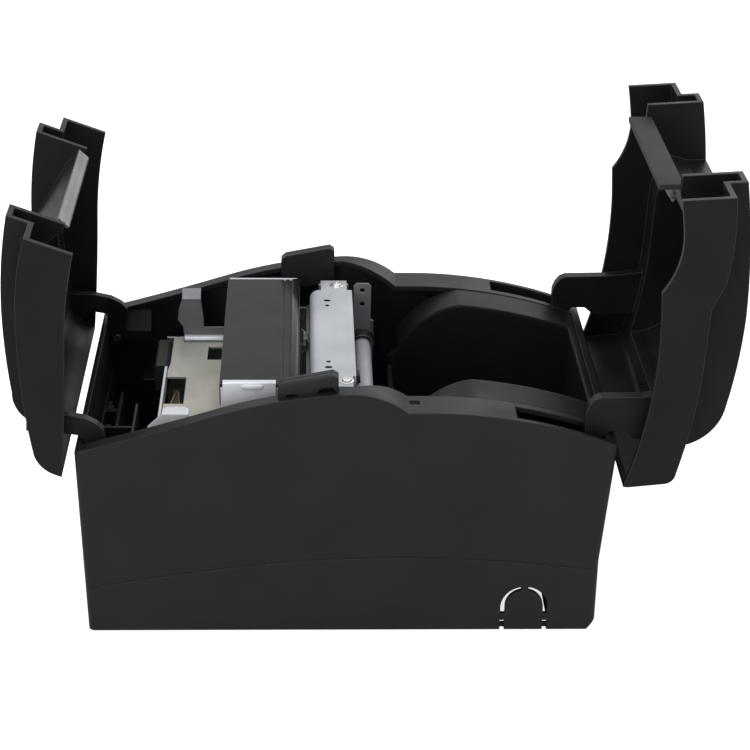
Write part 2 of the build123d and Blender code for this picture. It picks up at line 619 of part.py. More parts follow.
# Far bracket for the ribbon cassette: an upright plate with a flared top and a folded flange
FAR_PLATE_X = (-57.6, -56.4)
FAR_PLATE = [
    (-80.0, DECK_TOP), (-80.6, 93.3), (-83.3, 97.0), (-82.6, 103.0), (-80.8, 108.5), (-71.4, 108.5),
    (-70.1, 97.0), (-70.1, 93.0), (-60.0, 93.0), (-60.0, DECK_TOP),
]
FAR_FLARE = [(-57.6, 107.9), (-56.4, 107.9), (-56.4, 108.6), (-60.6, 112.8), (-61.45, 111.95), (-57.6, 108.1)]
FAR_FLARE_Y = (-80.8, -71.4)
FAR_FLANGE = [(-57.6, 86.2), (-53.0, 86.2), (-53.0, 87.4), (-55.2, 87.4), (-56.4, 88.6), (-57.6, 88.6)]
FAR_FLANGE_Y = (-80.0, -60.0)

with BuildPart() as far_bracket:
    add(slab(FAR_PLATE, *FAR_PLATE_X))
    add(slab(FAR_FLARE, -FAR_FLARE_Y[1], -FAR_FLARE_Y[0], plane=FACE))
    add(slab(FAR_FLANGE, -FAR_FLANGE_Y[1], -FAR_FLANGE_Y[0], plane=FACE))

# Near bracket: a stepped plate with a top flange, a foot on the deck and a bright strip along the deck's edge
NEAR_PLATE_X = (56.4, 57.6)
NEAR_PLATE = [
    (-71.8, DECK_TOP), (-71.8, 101.5), (-84.0, 101.5), (-86.6, 98.9), (-90.7, 94.9), (-90.8, 92.6),
    (-87.8, 90.5), (-87.8, 80.0), (-86.6, 80.0), (-86.6, DECK_TOP),
]
NEAR_FLANGE = [(57.6, -84.0), (52.0, -84.0), (50.0, -82.0), (50.0, -73.8), (52.0, -71.8), (57.6, -71.8)]
NEAR_FLANGE_Z = (100.3, 101.5)
NEAR_FOOT = ((52.0, 57.6), (-84.0, -71.8), (DECK_TOP, DECK_TOP + SHEET))
NEAR_STRIP = ((-21.0, 57.6), (-87.8, -86.6), (80.0, 88.0))

with BuildPart() as near_bracket:
    add(slab(NEAR_PLATE, *NEAR_PLATE_X))
    add(slab(NEAR_FLANGE, *NEAR_FLANGE_Z, plane=Plane.XY))
    for bar in (NEAR_FOOT, NEAR_STRIP):
        add(block(*bar))

# Ribbon spindle standing in the deck
with BuildPart() as ribbon_spindle:
    with BuildSketch(Plane.XY.offset(DECK_Z - 4)):
        with Locations(SPINDLE_SPOT):
            Circle(SPINDLE_R)
    extrude(amount=15)
    with BuildSketch(Plane.XY.offset(DECK_TOP + 0.4)):
        with Locations(SPINDLE_SPOT):
            Circle(3.2)
            with PolarLocations(3.0, 3):
                Rectangle(2.4, 0.9)
    extrude(amount=6)

# Guide block in front of the deck, with a tongue that is fixed under it
GUIDE_BLOCK = ((-52.0, -21.6), (-93.0, -86.6), (74.0, 88.0))
GUIDE_TONGUE = ((-48.0, -28.0), (-87.0, -79.0), (80.0, DECK_Z))

with BuildPart() as ribbon_guide_block:
    add(block(*GUIDE_BLOCK))
    chamfer(ribbon_guide_block.edges().filter_by(Axis.X).group_by(Axis.Z)[-1], length=EDGE)
    add(block(*GUIDE_TONGUE))

# Dark cover over the print head, with two grooves along its rear edge
HEAD_COVER_SKIN = 1.5
GROOVE_SIZE = (1.0, 0.7)
HEAD_COVER_OUTLINE = [
    (-57.5, 108.0), (-57.5, HEAD_COVER_Z), (-25.5, HEAD_COVER_Z), (-21.5, HEAD_COVER_Z - 0.6),
    (-21.5, HEAD_COVER_Z - HEAD_COVER_SKIN), (-57.0, HEAD_COVER_Z - HEAD_COVER_SKIN), (-57.0, 108.0),
]

with BuildPart() as head_cover:
    add(slab(HEAD_COVER_OUTLINE, -CHASSIS_HALF, CHASSIS_HALF))
    with BuildSketch(SIDE):
        with Locations((-29.0, HEAD_COVER_Z), (-26.0, HEAD_COVER_Z)):
            Rectangle(GROOVE_SIZE[0], 2 * GROOVE_SIZE[1])
    extrude(amount=CHASSIS_HALF, both=True, mode=Mode.SUBTRACT)

# White guide over the paper path, with a rounded front edge and a tab at each end
GUIDE_HALF = 49.0
GUIDE_TOP = GUIDE_SEAT_Z + SHEET

with BuildPart() as paper_guide:
    with BuildSketch(SIDE) as guide_section:
        with BuildLine():
            Polyline((4.5, 98), (4.5, GUIDE_TOP), (-12.0, GUIDE_TOP))
            ThreePointArc((-12.0, GUIDE_TOP), (-15.2, 115.6), (-16.5, 112.5))
            Polyline((-16.5, 112.5), (-16.5, 98), (4.5, 98))
        make_face()
    extrude(amount=GUIDE_HALF, both=True)
    with BuildSketch(SIDE):
        offset(guide_section.sketch_local, amount=-SHEET)
        with Locations((-6.0, 96)):
            Rectangle(18.6, 8)
    extrude(amount=GUIDE_HALF - SHEET, both=True, mode=Mode.SUBTRACT)
    add(block((-CHASSIS_HALF - 1, -GUIDE_HALF + 0.1), (-11, 2), (GUIDE_SEAT_Z, GUIDE_TOP)))
    add(block((GUIDE_HALF - 0.1, CHASSIS_HALF), (-4, 3), (GUIDE_SEAT_Z, GUIDE_TOP)))
    with BuildSketch(Plane.XY.offset(GUIDE_TOP)):
        with Locations((-36, -8), (40, -8)):
            Rectangle(1.4, 2.6)
        with Locations((-30, -8), (34, -8)):
            Rectangle(1.2, 1.2)
    extrude(amount=-2 * SHEET, mode=Mode.SUBTRACT)

with BuildPart() as guide_screws:
    with BuildSketch(Plane.XY.offset(GUIDE_TOP)):
        with Locations((-54.5, -3), (54.5, 0)):
            Circle(2.4)
    extrude(amount=1.4)

# Platen bar against which the pins print
with BuildPart() as platen_bar:
    add(block((-44, 44), (-18.4, -16.5), (98, 111)))

# Paper feed: rubber roller, shaft and gear, driven by a small motor
GEAR_X = (-66.4, -62.4)

with BuildPart() as feed_shaft:
    add(rod(FEED_AXIS, FEED_SHAFT_R, -67.2, 61.5))

with BuildPart() as feed_roller:
    add(rod(FEED_AXIS, 5.5, -40, 40))
    add(rod(FEED_AXIS, FEED_SHAFT_R, -45, 45), mode=Mode.SUBTRACT)


def gear(centre, teeth, phase, bore_r):
    """A spur gear with straight-flanked teeth."""
    pitch_r = GEAR_MODULE * teeth / 2
    tip_r = pitch_r + 0.8 * GEAR_MODULE
    root_r = pitch_r - 1.1 * GEAR_MODULE
    root_half = 0.66
    tip_half = 0.26
    sunk = 0.3
    with BuildPart() as wheel:
        with BuildSketch(SIDE.offset(GEAR_X[0])):
            with Locations(centre):
                Circle(root_r)
                with PolarLocations(0, teeth, start_angle=phase):
                    Polygon(
                        (root_r - sunk, -root_half), (tip_r, -tip_half), (tip_r, tip_half),
                        (root_r - sunk, root_half), align=None,
                    )
                Circle(bore_r, mode=Mode.SUBTRACT)
        extrude(amount=GEAR_X[1] - GEAR_X[0])
    return wheel


feed_gear = gear(FEED_AXIS, FEED_TEETH, MOTOR_ANGLE, FEED_SHAFT_R)
motor_pinion = gear(MOTOR_AXIS, PINION_TEETH, MOTOR_ANGLE + 180 + 180 / PINION_TEETH, MOTOR_SHAFT_R)

with BuildPart() as motor_shaft:
    add(rod(MOTOR_AXIS, MOTOR_SHAFT_R, -67.2, -57.0))

with BuildPart() as feed_motor:
    add(rod(MOTOR_AXIS, 11.5, -DECK_INNER, -43.0))
    add(rod(MOTOR_AXIS, MOTOR_SHAFT_R + FIT, -60, -56.6), mode=Mode.SUBTRACT)

# Paper tension roller between its two brackets
ROLLER_HALF = 48.4
BRACKET_X = 50.0
BRACKET_HOLE_R = 1.3
BRACKET_HOLE_Z = (116.3, 108.9)
RIGHT_BRACKET_Z = 112.0
LEFT_BRACKET = [
    (4.0, CHASSIS_FLOOR), (5.4, 70.0), (5.4, 118.6), (6.8, 120.0), (12.8, 120.0), (14.2, 118.6), (14.2, 70.0),
    (15.6, CHASSIS_FLOOR),
]
RIGHT_BRACKET = [
    (4.0, CHASSIS_FLOOR), (5.4, 70.0), (5.4, RIGHT_BRACKET_Z), (14.6, RIGHT_BRACKET_Z), (14.6, 70.0),
    (15.6, CHASSIS_FLOOR),
]

with BuildPart() as tension_shaft:
    add(rod(ROLLER_AXIS, 1.5, -52.6, 52.6))

with BuildPart() as tension_roller:
    add(rod(ROLLER_AXIS, 4.3, -ROLLER_HALF, ROLLER_HALF))
    add(rod(ROLLER_AXIS, 1.5, -55, 55), mode=Mode.SUBTRACT)

with BuildPart() as roller_bracket_left:
    add(slab(LEFT_BRACKET, -BRACKET_X - SHEET, -BRACKET_X))
    for hole_z in BRACKET_HOLE_Z:
        add(rod((ROLLER_AXIS[0], hole_z), BRACKET_HOLE_R, -60, -40), mode=Mode.SUBTRACT)
    add(rod(ROLLER_AXIS, 1.5 + FIT, -60, -40), mode=Mode.SUBTRACT)

with BuildPart() as roller_bracket_right:
    add(slab(RIGHT_BRACKET, BRACKET_X, BRACKET_X + SHEET))
    add(block((BRACKET_X, CHASSIS_HALF - SHEET), (5.4, 14.6), (RIGHT_BRACKET_Z - SHEET, RIGHT_BRACKET_Z)))
    add(rod(ROLLER_AXIS, 1.5 + FIT, 40, 55), mode=Mode.SUBTRACT)

# Print head on its carriage, running on two guide shafts
with BuildPart() as front_guide_shaft:
    add(rod(FRONT_SHAFT, 3.0, -DECK_INNER, DECK_INNER))

with BuildPart() as rear_guide_shaft:
    add(rod(REAR_SHAFT, 2.0, -DECK_INNER, DECK_INNER))

with BuildPart() as carriage:
    add(slab([(-51, 93), (-51, 106), (-48, 109), (-27, 109), (-27, 93)], -17, 17))
    add(rod(FRONT_SHAFT, 3.0 + FIT, -60, 60), mode=Mode.SUBTRACT)
    add(rod(REAR_SHAFT, 2.0 + FIT, -60, 60), mode=Mode.SUBTRACT)

PRINT_HEAD = [
    (-47.0, 109.0), (-47.0, 114.0), (-28.0, 114.0), (-24.0, 108.0), (-20.4, 103.6), (-20.4, 100.4),
    (-24.0, 95.0), (-27.0, 95.0), (-27.0, 109.0),
]

with BuildPart() as print_head:
    add(slab(PRINT_HEAD, -11, 11))

# Main board with its rear sockets
BOARD_Z = 6.0
BOARD_TOP = BOARD_Z + 1.6
SOCKET_FRONT = 101.0
SOCKET_REAR = 116.6
PANEL_Y = 110.8
SPACER_SPOTS = [(-40, -94), (40, -94), (-48, 98), (24, 98)]
SPACER_WIDTH = 6.0
BOARD_OUTLINE = [
    (-44.0, -100.0), (44.0, -100.0), (44.0, 62.0), (30.0, 62.0), (30.0, 110.0), (-54.0, 110.0), (-54.0, 62.0),
    (-44.0, 62.0),
]
CHIPS = [
    ((0, -60), (14, 14), 1.6), ((-24, -50), (8, 12), 1.6), ((22, -74), (10, 10), 4.0),
    ((0, -20), (10, 14), 1.6), ((26, -20), (12, 12), 6.0),
]

with BuildPart() as board_spacers:
    with BuildSketch(Plane.XY.offset(PLATE)):
        with Locations(*SPACER_SPOTS):
            Rectangle(SPACER_WIDTH, SPACER_WIDTH)
    extrude(amount=BOARD_Z - PLATE)

with BuildPart() as main_board:
    add(slab(BOARD_OUTLINE, BOARD_Z, BOARD_TOP, plane=Plane.XY))

with BuildPart() as board_chips:
    for centre, size, height in CHIPS:
        with BuildSketch(Plane.XY.offset(BOARD_TOP)):
            with Locations(centre):
                Rectangle(*size)
        extrude(amount=height)

# Sockets, each through its opening in the steel panel
POWER_SOCKET = ((17.5, 29.5), (BOARD_TOP, 21.0))
DRAWER_SOCKET = ((1.0, 16.0), (BOARD_TOP, 21.0))
USB_SOCKET = ((-14.0, -2.0), (BOARD_TOP, 18.6))
DATA_SOCKET = ((-51.0, -17.0), (BOARD_TOP, 21.0))


def socket(spot, recess):
    """A socket body with a mouth facing the rear."""
    with BuildPart() as body:
        add(block(spot[0], (SOCKET_FRONT, SOCKET_REAR), spot[1]))
        mouth_x = (spot[0][0] + recess, spot[0][1] - recess)
        mouth_z = (BOARD_TOP + recess, spot[1][1] - recess)
        add(block(mouth_x, (107.0, 119.0), mouth_z), mode=Mode.SUBTRACT)
    return body


power_socket = socket(POWER_SOCKET, 2.0)
drawer_socket = socket(DRAWER_SOCKET, 1.6)
usb_socket = socket(USB_SOCKET, 1.2)
data_socket = socket(DATA_SOCKET, 1.6)

with BuildPart() as socket_panel:
    add(block((-55.0, 33.8), (PANEL_Y, PANEL_Y + SHEET), (PLATE, 34.0)))
    for spot in (POWER_SOCKET, DRAWER_SOCKET, USB_SOCKET, DATA_SOCKET):
        add(block(spot[0], (100, 130), spot[1]), mode=Mode.SUBTRACT)

# Front panel with the feed button and three status lenses
PANEL_X = (-46.0, -4.0)
PANEL_Z = (44.0, 62.0)
BUTTON_SPOT = (-37.0, 53.0)
LENS_X = (-24.0, -17.0, -10.0)
LENS_R = 1.3
BUTTON_SIZE = (11.0, 7.0)
BUTTON_HOLE = (11.5, 7.5)

with BuildPart() as front_panel:
    add(block(PANEL_X, (-121.4, -118.4), PANEL_Z))
    with BuildSketch(FACE.offset(110)):
        with Locations(BUTTON_SPOT):
            RectangleRounded(*BUTTON_HOLE, 2.2)
        with Locations(*[(x, BUTTON_SPOT[1]) for x in LENS_X]):
            Circle(LENS_R)
    extrude(amount=20, mode=Mode.SUBTRACT)
    with BuildSketch(FACE.offset(112.2)):
        with Locations((-27.0, 59.5), (-27.0, 46.5)):
            Rectangle(3.0, 3.0)
    extrude(amount=6.4)

with BuildPart() as feed_button:
    with BuildSketch(FACE.offset(115.4)):
        with Locations(BUTTON_SPOT):
            RectangleRounded(*BUTTON_SIZE, 2.0)
    extrude(amount=7.0)
    with BuildSketch(FACE.offset(116.5)):
        with Locations(BUTTON_SPOT):
            RectangleRounded(BUTTON_SIZE[0] + 3.0, BUTTON_SIZE[1] + 3.0, 2.0)
    extrude(amount=1.8)

with BuildPart() as button_switch:
    add(block((-40, -34), (-114.0, -112.2), (50, 56)))

with BuildPart() as status_lenses:
    with BuildSketch(FACE.offset(116.0)):
        with Locations(*[(x, BUTTON_SPOT[1]) for x in LENS_X]):
            Circle(LENS_R)
    extrude(amount=5.9)

with BuildPart() as panel_board:
    add(block((PANEL_X[0] + 1, PANEL_X[1] - 1), (-112.2, -110.6), (PANEL_Z[0], PANEL_Z[1])))

# Power switch in the left wall
SWITCH_Y = (-103.0, -88.0)
SWITCH_Z = (36.0, 58.0)
ROCKER_PIVOT = (-74.2, 47.0)
ROCKER_TILT = 8.0

with BuildPart() as switch_frame:
    add(block((-80.0, -68.0), SWITCH_Y, SWITCH_Z))
    frame_wall = 1.2
    opening_y = (SWITCH_Y[0] + frame_wall, SWITCH_Y[1] - frame_wall)
    opening_z = (SWITCH_Z[0] + frame_wall, SWITCH_Z[1] - frame_wall)
    add(block((-83.0, -70.0), opening_y, opening_z), mode=Mode.SUBTRACT)
    with BuildSketch(Plane.XZ.offset(80.0)):
        with Locations(ROCKER_PIVOT):
            Circle(1.2 + FIT)
    extrude(amount=30.0, mode=Mode.SUBTRACT)

with BuildPart() as power_rocker:
    with BuildSketch(Plane.XZ.offset(90.0)):
        with Locations(Location((*ROCKER_PIVOT, 0), (0, 0, ROCKER_TILT))):
            Polygon((2.6, -5.5), (2.6, 5.5), (-4.6, 8.4), (-3.6, 0), (-4.6, -8.4), align=None)
    extrude(amount=11.0)
    with BuildSketch(Plane.XZ.offset(88.4)):
        with Locations(ROCKER_PIVOT):
            Circle(1.2)
    extrude(amount=14.2)

os.makedirs("parts", exist_ok=True)
PIECES = {
    "lower_case": lower_case, "base_plate": base_plate, "rubber_feet": rubber_feet,
    "base_screws": base_screws, "paper_bucket": paper_bucket, "front_cover": front_cover,
    "rear_cover": rear_cover, "front_hinge_pins": front_hinge_pins, "rear_hinge_pins": rear_hinge_pins,
    "tear_bar": tear_bar, "slot_plate": slot_plate, "plate_clip": plate_clip,
    "right_side_tab": right_side_tab, "left_side_tab": left_side_tab, "chassis_base": chassis_base,
    "chassis_side_right": chassis_side_right, "chassis_side_left": chassis_side_left,
    "mechanism_screws": mechanism_screws, "zinc_deck": zinc_deck, "ribbon_spring": ribbon_spring,
    "far_bracket": far_bracket, "near_bracket": near_bracket, "ribbon_spindle": ribbon_spindle,
    "ribbon_guide_block": ribbon_guide_block, "head_cover": head_cover, "paper_guide": paper_guide,
    "guide_screws": guide_screws, "platen_bar": platen_bar, "feed_shaft": feed_shaft,
    "feed_roller": feed_roller, "feed_gear": feed_gear, "motor_pinion": motor_pinion,
    "motor_shaft": motor_shaft, "feed_motor": feed_motor, "tension_shaft": tension_shaft,
    "tension_roller": tension_roller, "roller_bracket_left": roller_bracket_left,
    "roller_bracket_right": roller_bracket_right, "front_guide_shaft": front_guide_shaft,
    "rear_guide_shaft": rear_guide_shaft, "carriage": carriage, "print_head": print_head,
    "board_spacers": board_spacers, "main_board": main_board, "board_chips": board_chips,
    "power_socket": power_socket, "drawer_socket": drawer_socket, "usb_socket": usb_socket,
    "data_socket": data_socket, "socket_panel": socket_panel, "front_panel": front_panel,
    "feed_button": feed_button, "button_switch": button_switch, "status_lenses": status_lenses,
    "panel_board": panel_board, "switch_frame": switch_frame, "power_rocker": power_rocker,
}
for title, piece in PIECES.items():
    keep(piece, title)
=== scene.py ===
import json
import math
from collections import namedtuple

import bmesh
import bpy
from mathutils import Matrix, Vector


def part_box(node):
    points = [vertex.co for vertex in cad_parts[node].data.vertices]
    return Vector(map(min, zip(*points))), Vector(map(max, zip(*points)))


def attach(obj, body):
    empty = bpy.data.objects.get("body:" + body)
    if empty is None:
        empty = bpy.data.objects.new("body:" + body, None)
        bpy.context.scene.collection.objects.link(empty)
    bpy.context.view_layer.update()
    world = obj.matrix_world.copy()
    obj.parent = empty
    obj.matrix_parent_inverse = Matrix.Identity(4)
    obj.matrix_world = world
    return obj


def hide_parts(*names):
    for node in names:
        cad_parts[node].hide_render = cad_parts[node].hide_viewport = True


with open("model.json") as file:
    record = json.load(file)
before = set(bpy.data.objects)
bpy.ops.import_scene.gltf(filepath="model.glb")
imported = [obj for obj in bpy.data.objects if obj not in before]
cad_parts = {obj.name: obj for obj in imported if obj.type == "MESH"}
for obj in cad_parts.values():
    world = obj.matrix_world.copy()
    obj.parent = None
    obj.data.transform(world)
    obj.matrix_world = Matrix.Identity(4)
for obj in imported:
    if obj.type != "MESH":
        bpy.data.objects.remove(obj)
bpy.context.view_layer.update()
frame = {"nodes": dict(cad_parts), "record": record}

# Receipt printer standing open: materials, small pieces, light and camera.
# Everything is in metres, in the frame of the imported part. The small pieces are
# drawn in millimetres and made into metres when they are put in place.

NODES = frame["nodes"]
MM = 0.001

Corner = namedtuple("Corner", "x y z")


def node_box(node):
    """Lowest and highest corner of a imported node, in millimetres."""
    return [Corner(*(value / MM for value in corner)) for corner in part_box(node)]


# Camera as solved from the photograph

CAMERA_PLACE = (0.8759, -0.0196, 0.5187)
CAMERA_YAW = math.radians(2.26)
CAMERA_PITCH = math.radians(25.87)
CAMERA_ROLL = math.radians(1.09)
SENSOR_WIDTH = 36.0
LENS_LENGTH = 96.7
NEAR_CLIP = 0.01


def place_camera():
    """Camera at the photograph's viewing angle."""
    forward = Vector((
        -math.cos(CAMERA_PITCH) * math.cos(CAMERA_YAW),
        math.cos(CAMERA_PITCH) * math.sin(CAMERA_YAW),
        -math.sin(CAMERA_PITCH),
    ))
    level_right = Vector((math.sin(CAMERA_YAW), math.cos(CAMERA_YAW), 0.0))
    level_up = level_right.cross(forward)
    right = math.cos(CAMERA_ROLL) * level_right + math.sin(CAMERA_ROLL) * level_up
    up = math.cos(CAMERA_ROLL) * level_up - math.sin(CAMERA_ROLL) * level_right
    data = bpy.data.cameras.new("camera")
    data.sensor_width = SENSOR_WIDTH
    data.sensor_fit = "HORIZONTAL"
    data.lens = LENS_LENGTH
    data.clip_start = NEAR_CLIP
    camera = bpy.data.objects.new("camera", data)
    bpy.context.scene.collection.objects.link(camera)
    turn = Matrix((right, up, -forward)).transposed().to_4x4()
    camera.matrix_world = Matrix.Translation(CAMERA_PLACE) @ turn
    bpy.context.scene.camera = camera


# Building blocks of the materials

UNSTRETCHED = (1.0, 1.0, 1.0)
BRUSHED_ALONG_X = (0.03, 1.0, 1.0)

# Noise values between which a colour, and a single value, run from one end to the other
TONE_ENDS = (0.35, 0.65)
SPREAD_ENDS = (0.3, 0.7)

# Cosine between the softened and the true normal where the painted edge highlight starts and is full
HIGHLIGHT_START = 0.98
HIGHLIGHT_FULL = 0.80
BEVEL_SAMPLES = 4


def new_material(name):
    """An empty node material, with its Principled shader and output."""
    material = bpy.data.materials.new(name)
    material.use_nodes = True
    tree = material.node_tree
    tree.nodes.clear()
    output = tree.nodes.new("ShaderNodeOutputMaterial")
    shader = tree.nodes.new("ShaderNodeBsdfPrincipled")
    tree.links.new(shader.outputs["BSDF"], output.inputs["Surface"])
    return material, tree, shader


def coordinates(tree, stretch=UNSTRETCHED):
    """Place on the object, stretched along its axes."""
    place = tree.nodes.new("ShaderNodeTexCoord")
    mapping = tree.nodes.new("ShaderNodeMapping")
    mapping.inputs["Scale"].default_value = stretch
    tree.links.new(place.outputs["Object"], mapping.inputs["Vector"])
    return mapping.outputs["Vector"]


def noise(tree, scale, detail=3.0, stretch=UNSTRETCHED):
    """Noise of a given scale in cells per metre."""
    node = tree.nodes.new("ShaderNodeTexNoise")
    node.inputs["Scale"].default_value = scale
    node.inputs["Detail"].default_value = detail
    tree.links.new(coordinates(tree, stretch), node.inputs["Vector"])
    return node.outputs["Fac"]


def two_tone(tree, factor, dark, light):
    """Colour that runs from dark to light with a factor."""
    ramp = tree.nodes.new("ShaderNodeValToRGB")
    for element, position, tone in zip(ramp.color_ramp.elements, TONE_ENDS, (dark, light)):
        element.position = position
        element.color = (*tone, 1.0)
    tree.links.new(factor, ramp.inputs["Fac"])
    return ramp.outputs["Color"]


def spread(tree, factor, low, high):
    """A value that runs from low to high with a factor."""
    node = tree.nodes.new("ShaderNodeMapRange")
    node.inputs["From Min"].default_value = SPREAD_ENDS[0]
    node.inputs["From Max"].default_value = SPREAD_ENDS[1]
    node.inputs["To Min"].default_value = low
    node.inputs["To Max"].default_value = high
    tree.links.new(factor, node.inputs["Value"])
    return node.outputs["Result"]


def softened(tree, edge):
    """Surface normal with its edges rounded to a small radius."""
    soft = tree.nodes.new("ShaderNodeBevel")
    soft.samples = BEVEL_SAMPLES
    soft.inputs["Radius"].default_value = edge
    return soft.outputs["Normal"]


def bump(tree, shader, normal, height, strength, distance):
    """Relief on the surface, over its softened edges."""
    node = tree.nodes.new("ShaderNodeBump")
    node.inputs["Strength"].default_value = strength
    node.inputs["Distance"].default_value = distance
    tree.links.new(normal, node.inputs["Normal"])
    tree.links.new(height, node.inputs["Height"])
    tree.links.new(node.outputs["Normal"], shader.inputs["Normal"])


def edge_highlighted(tree, normal, colour, tone):
    """Colour that turns to a lighter tone at the edges: a painted highlight along them."""
    surface = tree.nodes.new("ShaderNodeNewGeometry")
    turned = tree.nodes.new("ShaderNodeVectorMath")
    turned.operation = "DOT_PRODUCT"
    tree.links.new(normal, turned.inputs[0])
    tree.links.new(surface.outputs["True Normal"], turned.inputs[1])
    # Mask of the painted edge highlight, from how far the softened normal turns from the true one
    highlight_mask = tree.nodes.new("ShaderNodeMapRange")
    highlight_mask.inputs["From Min"].default_value = HIGHLIGHT_START
    highlight_mask.inputs["From Max"].default_value = HIGHLIGHT_FULL
    tree.links.new(turned.outputs["Value"], highlight_mask.inputs["Value"])
    mix = tree.nodes.new("ShaderNodeMix")
    mix.data_type = "RGBA"
    mix.inputs["B"].default_value = (*tone, 1.0)
    tree.links.new(highlight_mask.outputs["Result"], mix.inputs["Factor"])
    tree.links.new(colour, mix.inputs["A"])
    return mix.outputs["Result"]


# Kinds of surface. Noise scales are in cells per metre, edges and depths in metres.


def plastic(name, dark, light, rough, grain=1800.0, relief=0.25, gloss=0.3, edge=0.0006, edge_highlight=1.5):
    """Moulded plastic: fine eroded grain, faint cloudiness in colour and gloss, a painted highlight along the
    edges.
    """
    material, tree, shader = new_material(name)
    normal = softened(tree, edge)
    cloud = two_tone(tree, noise(tree, 26.0, detail=4.0), dark, light)
    # The lighter tone along the edges is a painted highlight
    highlight_tone = tuple(edge_highlight * part for part in light)
    tree.links.new(edge_highlighted(tree, normal, cloud, highlight_tone), shader.inputs["Base Color"])
    sheen = spread(tree, noise(tree, 60.0, detail=5.0), rough - 0.05, rough + 0.06)
    tree.links.new(sheen, shader.inputs["Roughness"])
    shader.inputs["Specular IOR Level"].default_value = gloss
    bump(tree, shader, normal, noise(tree, grain, detail=2.0), relief, distance=0.00012)
    return material


def sheet_metal(name, dark, light, rough, metallic=1.0, grain=UNSTRETCHED, scale=300.0):
    """Rolled and plated sheet: directional grain, cloudy plating."""
    material, tree, shader = new_material(name)
    cloud = two_tone(tree, noise(tree, 40.0, detail=5.0), dark, light)
    tree.links.new(cloud, shader.inputs["Base Color"])
    lines = noise(tree, scale, detail=6.0, stretch=grain)
    tree.links.new(spread(tree, lines, rough - 0.07, rough + 0.08), shader.inputs["Roughness"])
    shader.inputs["Metallic"].default_value = metallic
    bump(tree, shader, softened(tree, 0.0004), lines, strength=0.12, distance=0.00008)
    return material


def rubber(name, tone):
    """Matt rubber with a ground surface."""
    material, tree, shader = new_material(name)
    light = tuple(1.25 * part for part in tone)
    cloud = two_tone(tree, noise(tree, 90.0, detail=5.0), tone, light)
    tree.links.new(cloud, shader.inputs["Base Color"])
    sheen = spread(tree, noise(tree, 400.0), 0.67, 0.83)
    tree.links.new(sheen, shader.inputs["Roughness"])
    ground = noise(tree, 2600.0, detail=2.0)
    bump(tree, shader, softened(tree, 0.0005), ground, strength=0.35, distance=0.0001)
    return material


def circuit_board(name):
    """Solder mask over a grid of copper traces."""
    material, tree, shader = new_material(name)
    traces = tree.nodes.new("ShaderNodeTexBrick")
    traces.inputs["Scale"].default_value = 120.0
    traces.inputs["Mortar Size"].default_value = 0.03
    traces.inputs["Color1"].default_value = (0.006, 0.045, 0.020, 1.0)
    traces.inputs["Color2"].default_value = (0.008, 0.055, 0.025, 1.0)
    traces.inputs["Mortar"].default_value = (0.018, 0.10, 0.05, 1.0)
    tree.links.new(coordinates(tree), traces.inputs["Vector"])
    tree.links.new(traces.outputs["Color"], shader.inputs["Base Color"])
    tree.links.new(spread(tree, noise(tree, 200.0), 0.22, 0.36), shader.inputs["Roughness"])
    bump(tree, shader, softened(tree, 0.0002), traces.outputs["Fac"], strength=0.2, distance=0.00005)
    return material


def lens(name, tone):
    """Tinted translucent light pipe."""
    material, tree, shader = new_material(name)
    deep = tuple(0.6 * part for part in tone)
    cloud = two_tone(tree, noise(tree, 500.0), deep, tone)
    tree.links.new(cloud, shader.inputs["Base Color"])
    shader.inputs["Roughness"].default_value = 0.12
    shader.inputs["Transmission Weight"].default_value = 0.35
    bump(tree, shader, softened(tree, 0.0003), noise(tree, 900.0), strength=0.08, distance=0.0001)
    return material


# Finish of every material slot: its darker and its lighter tone, then its roughness

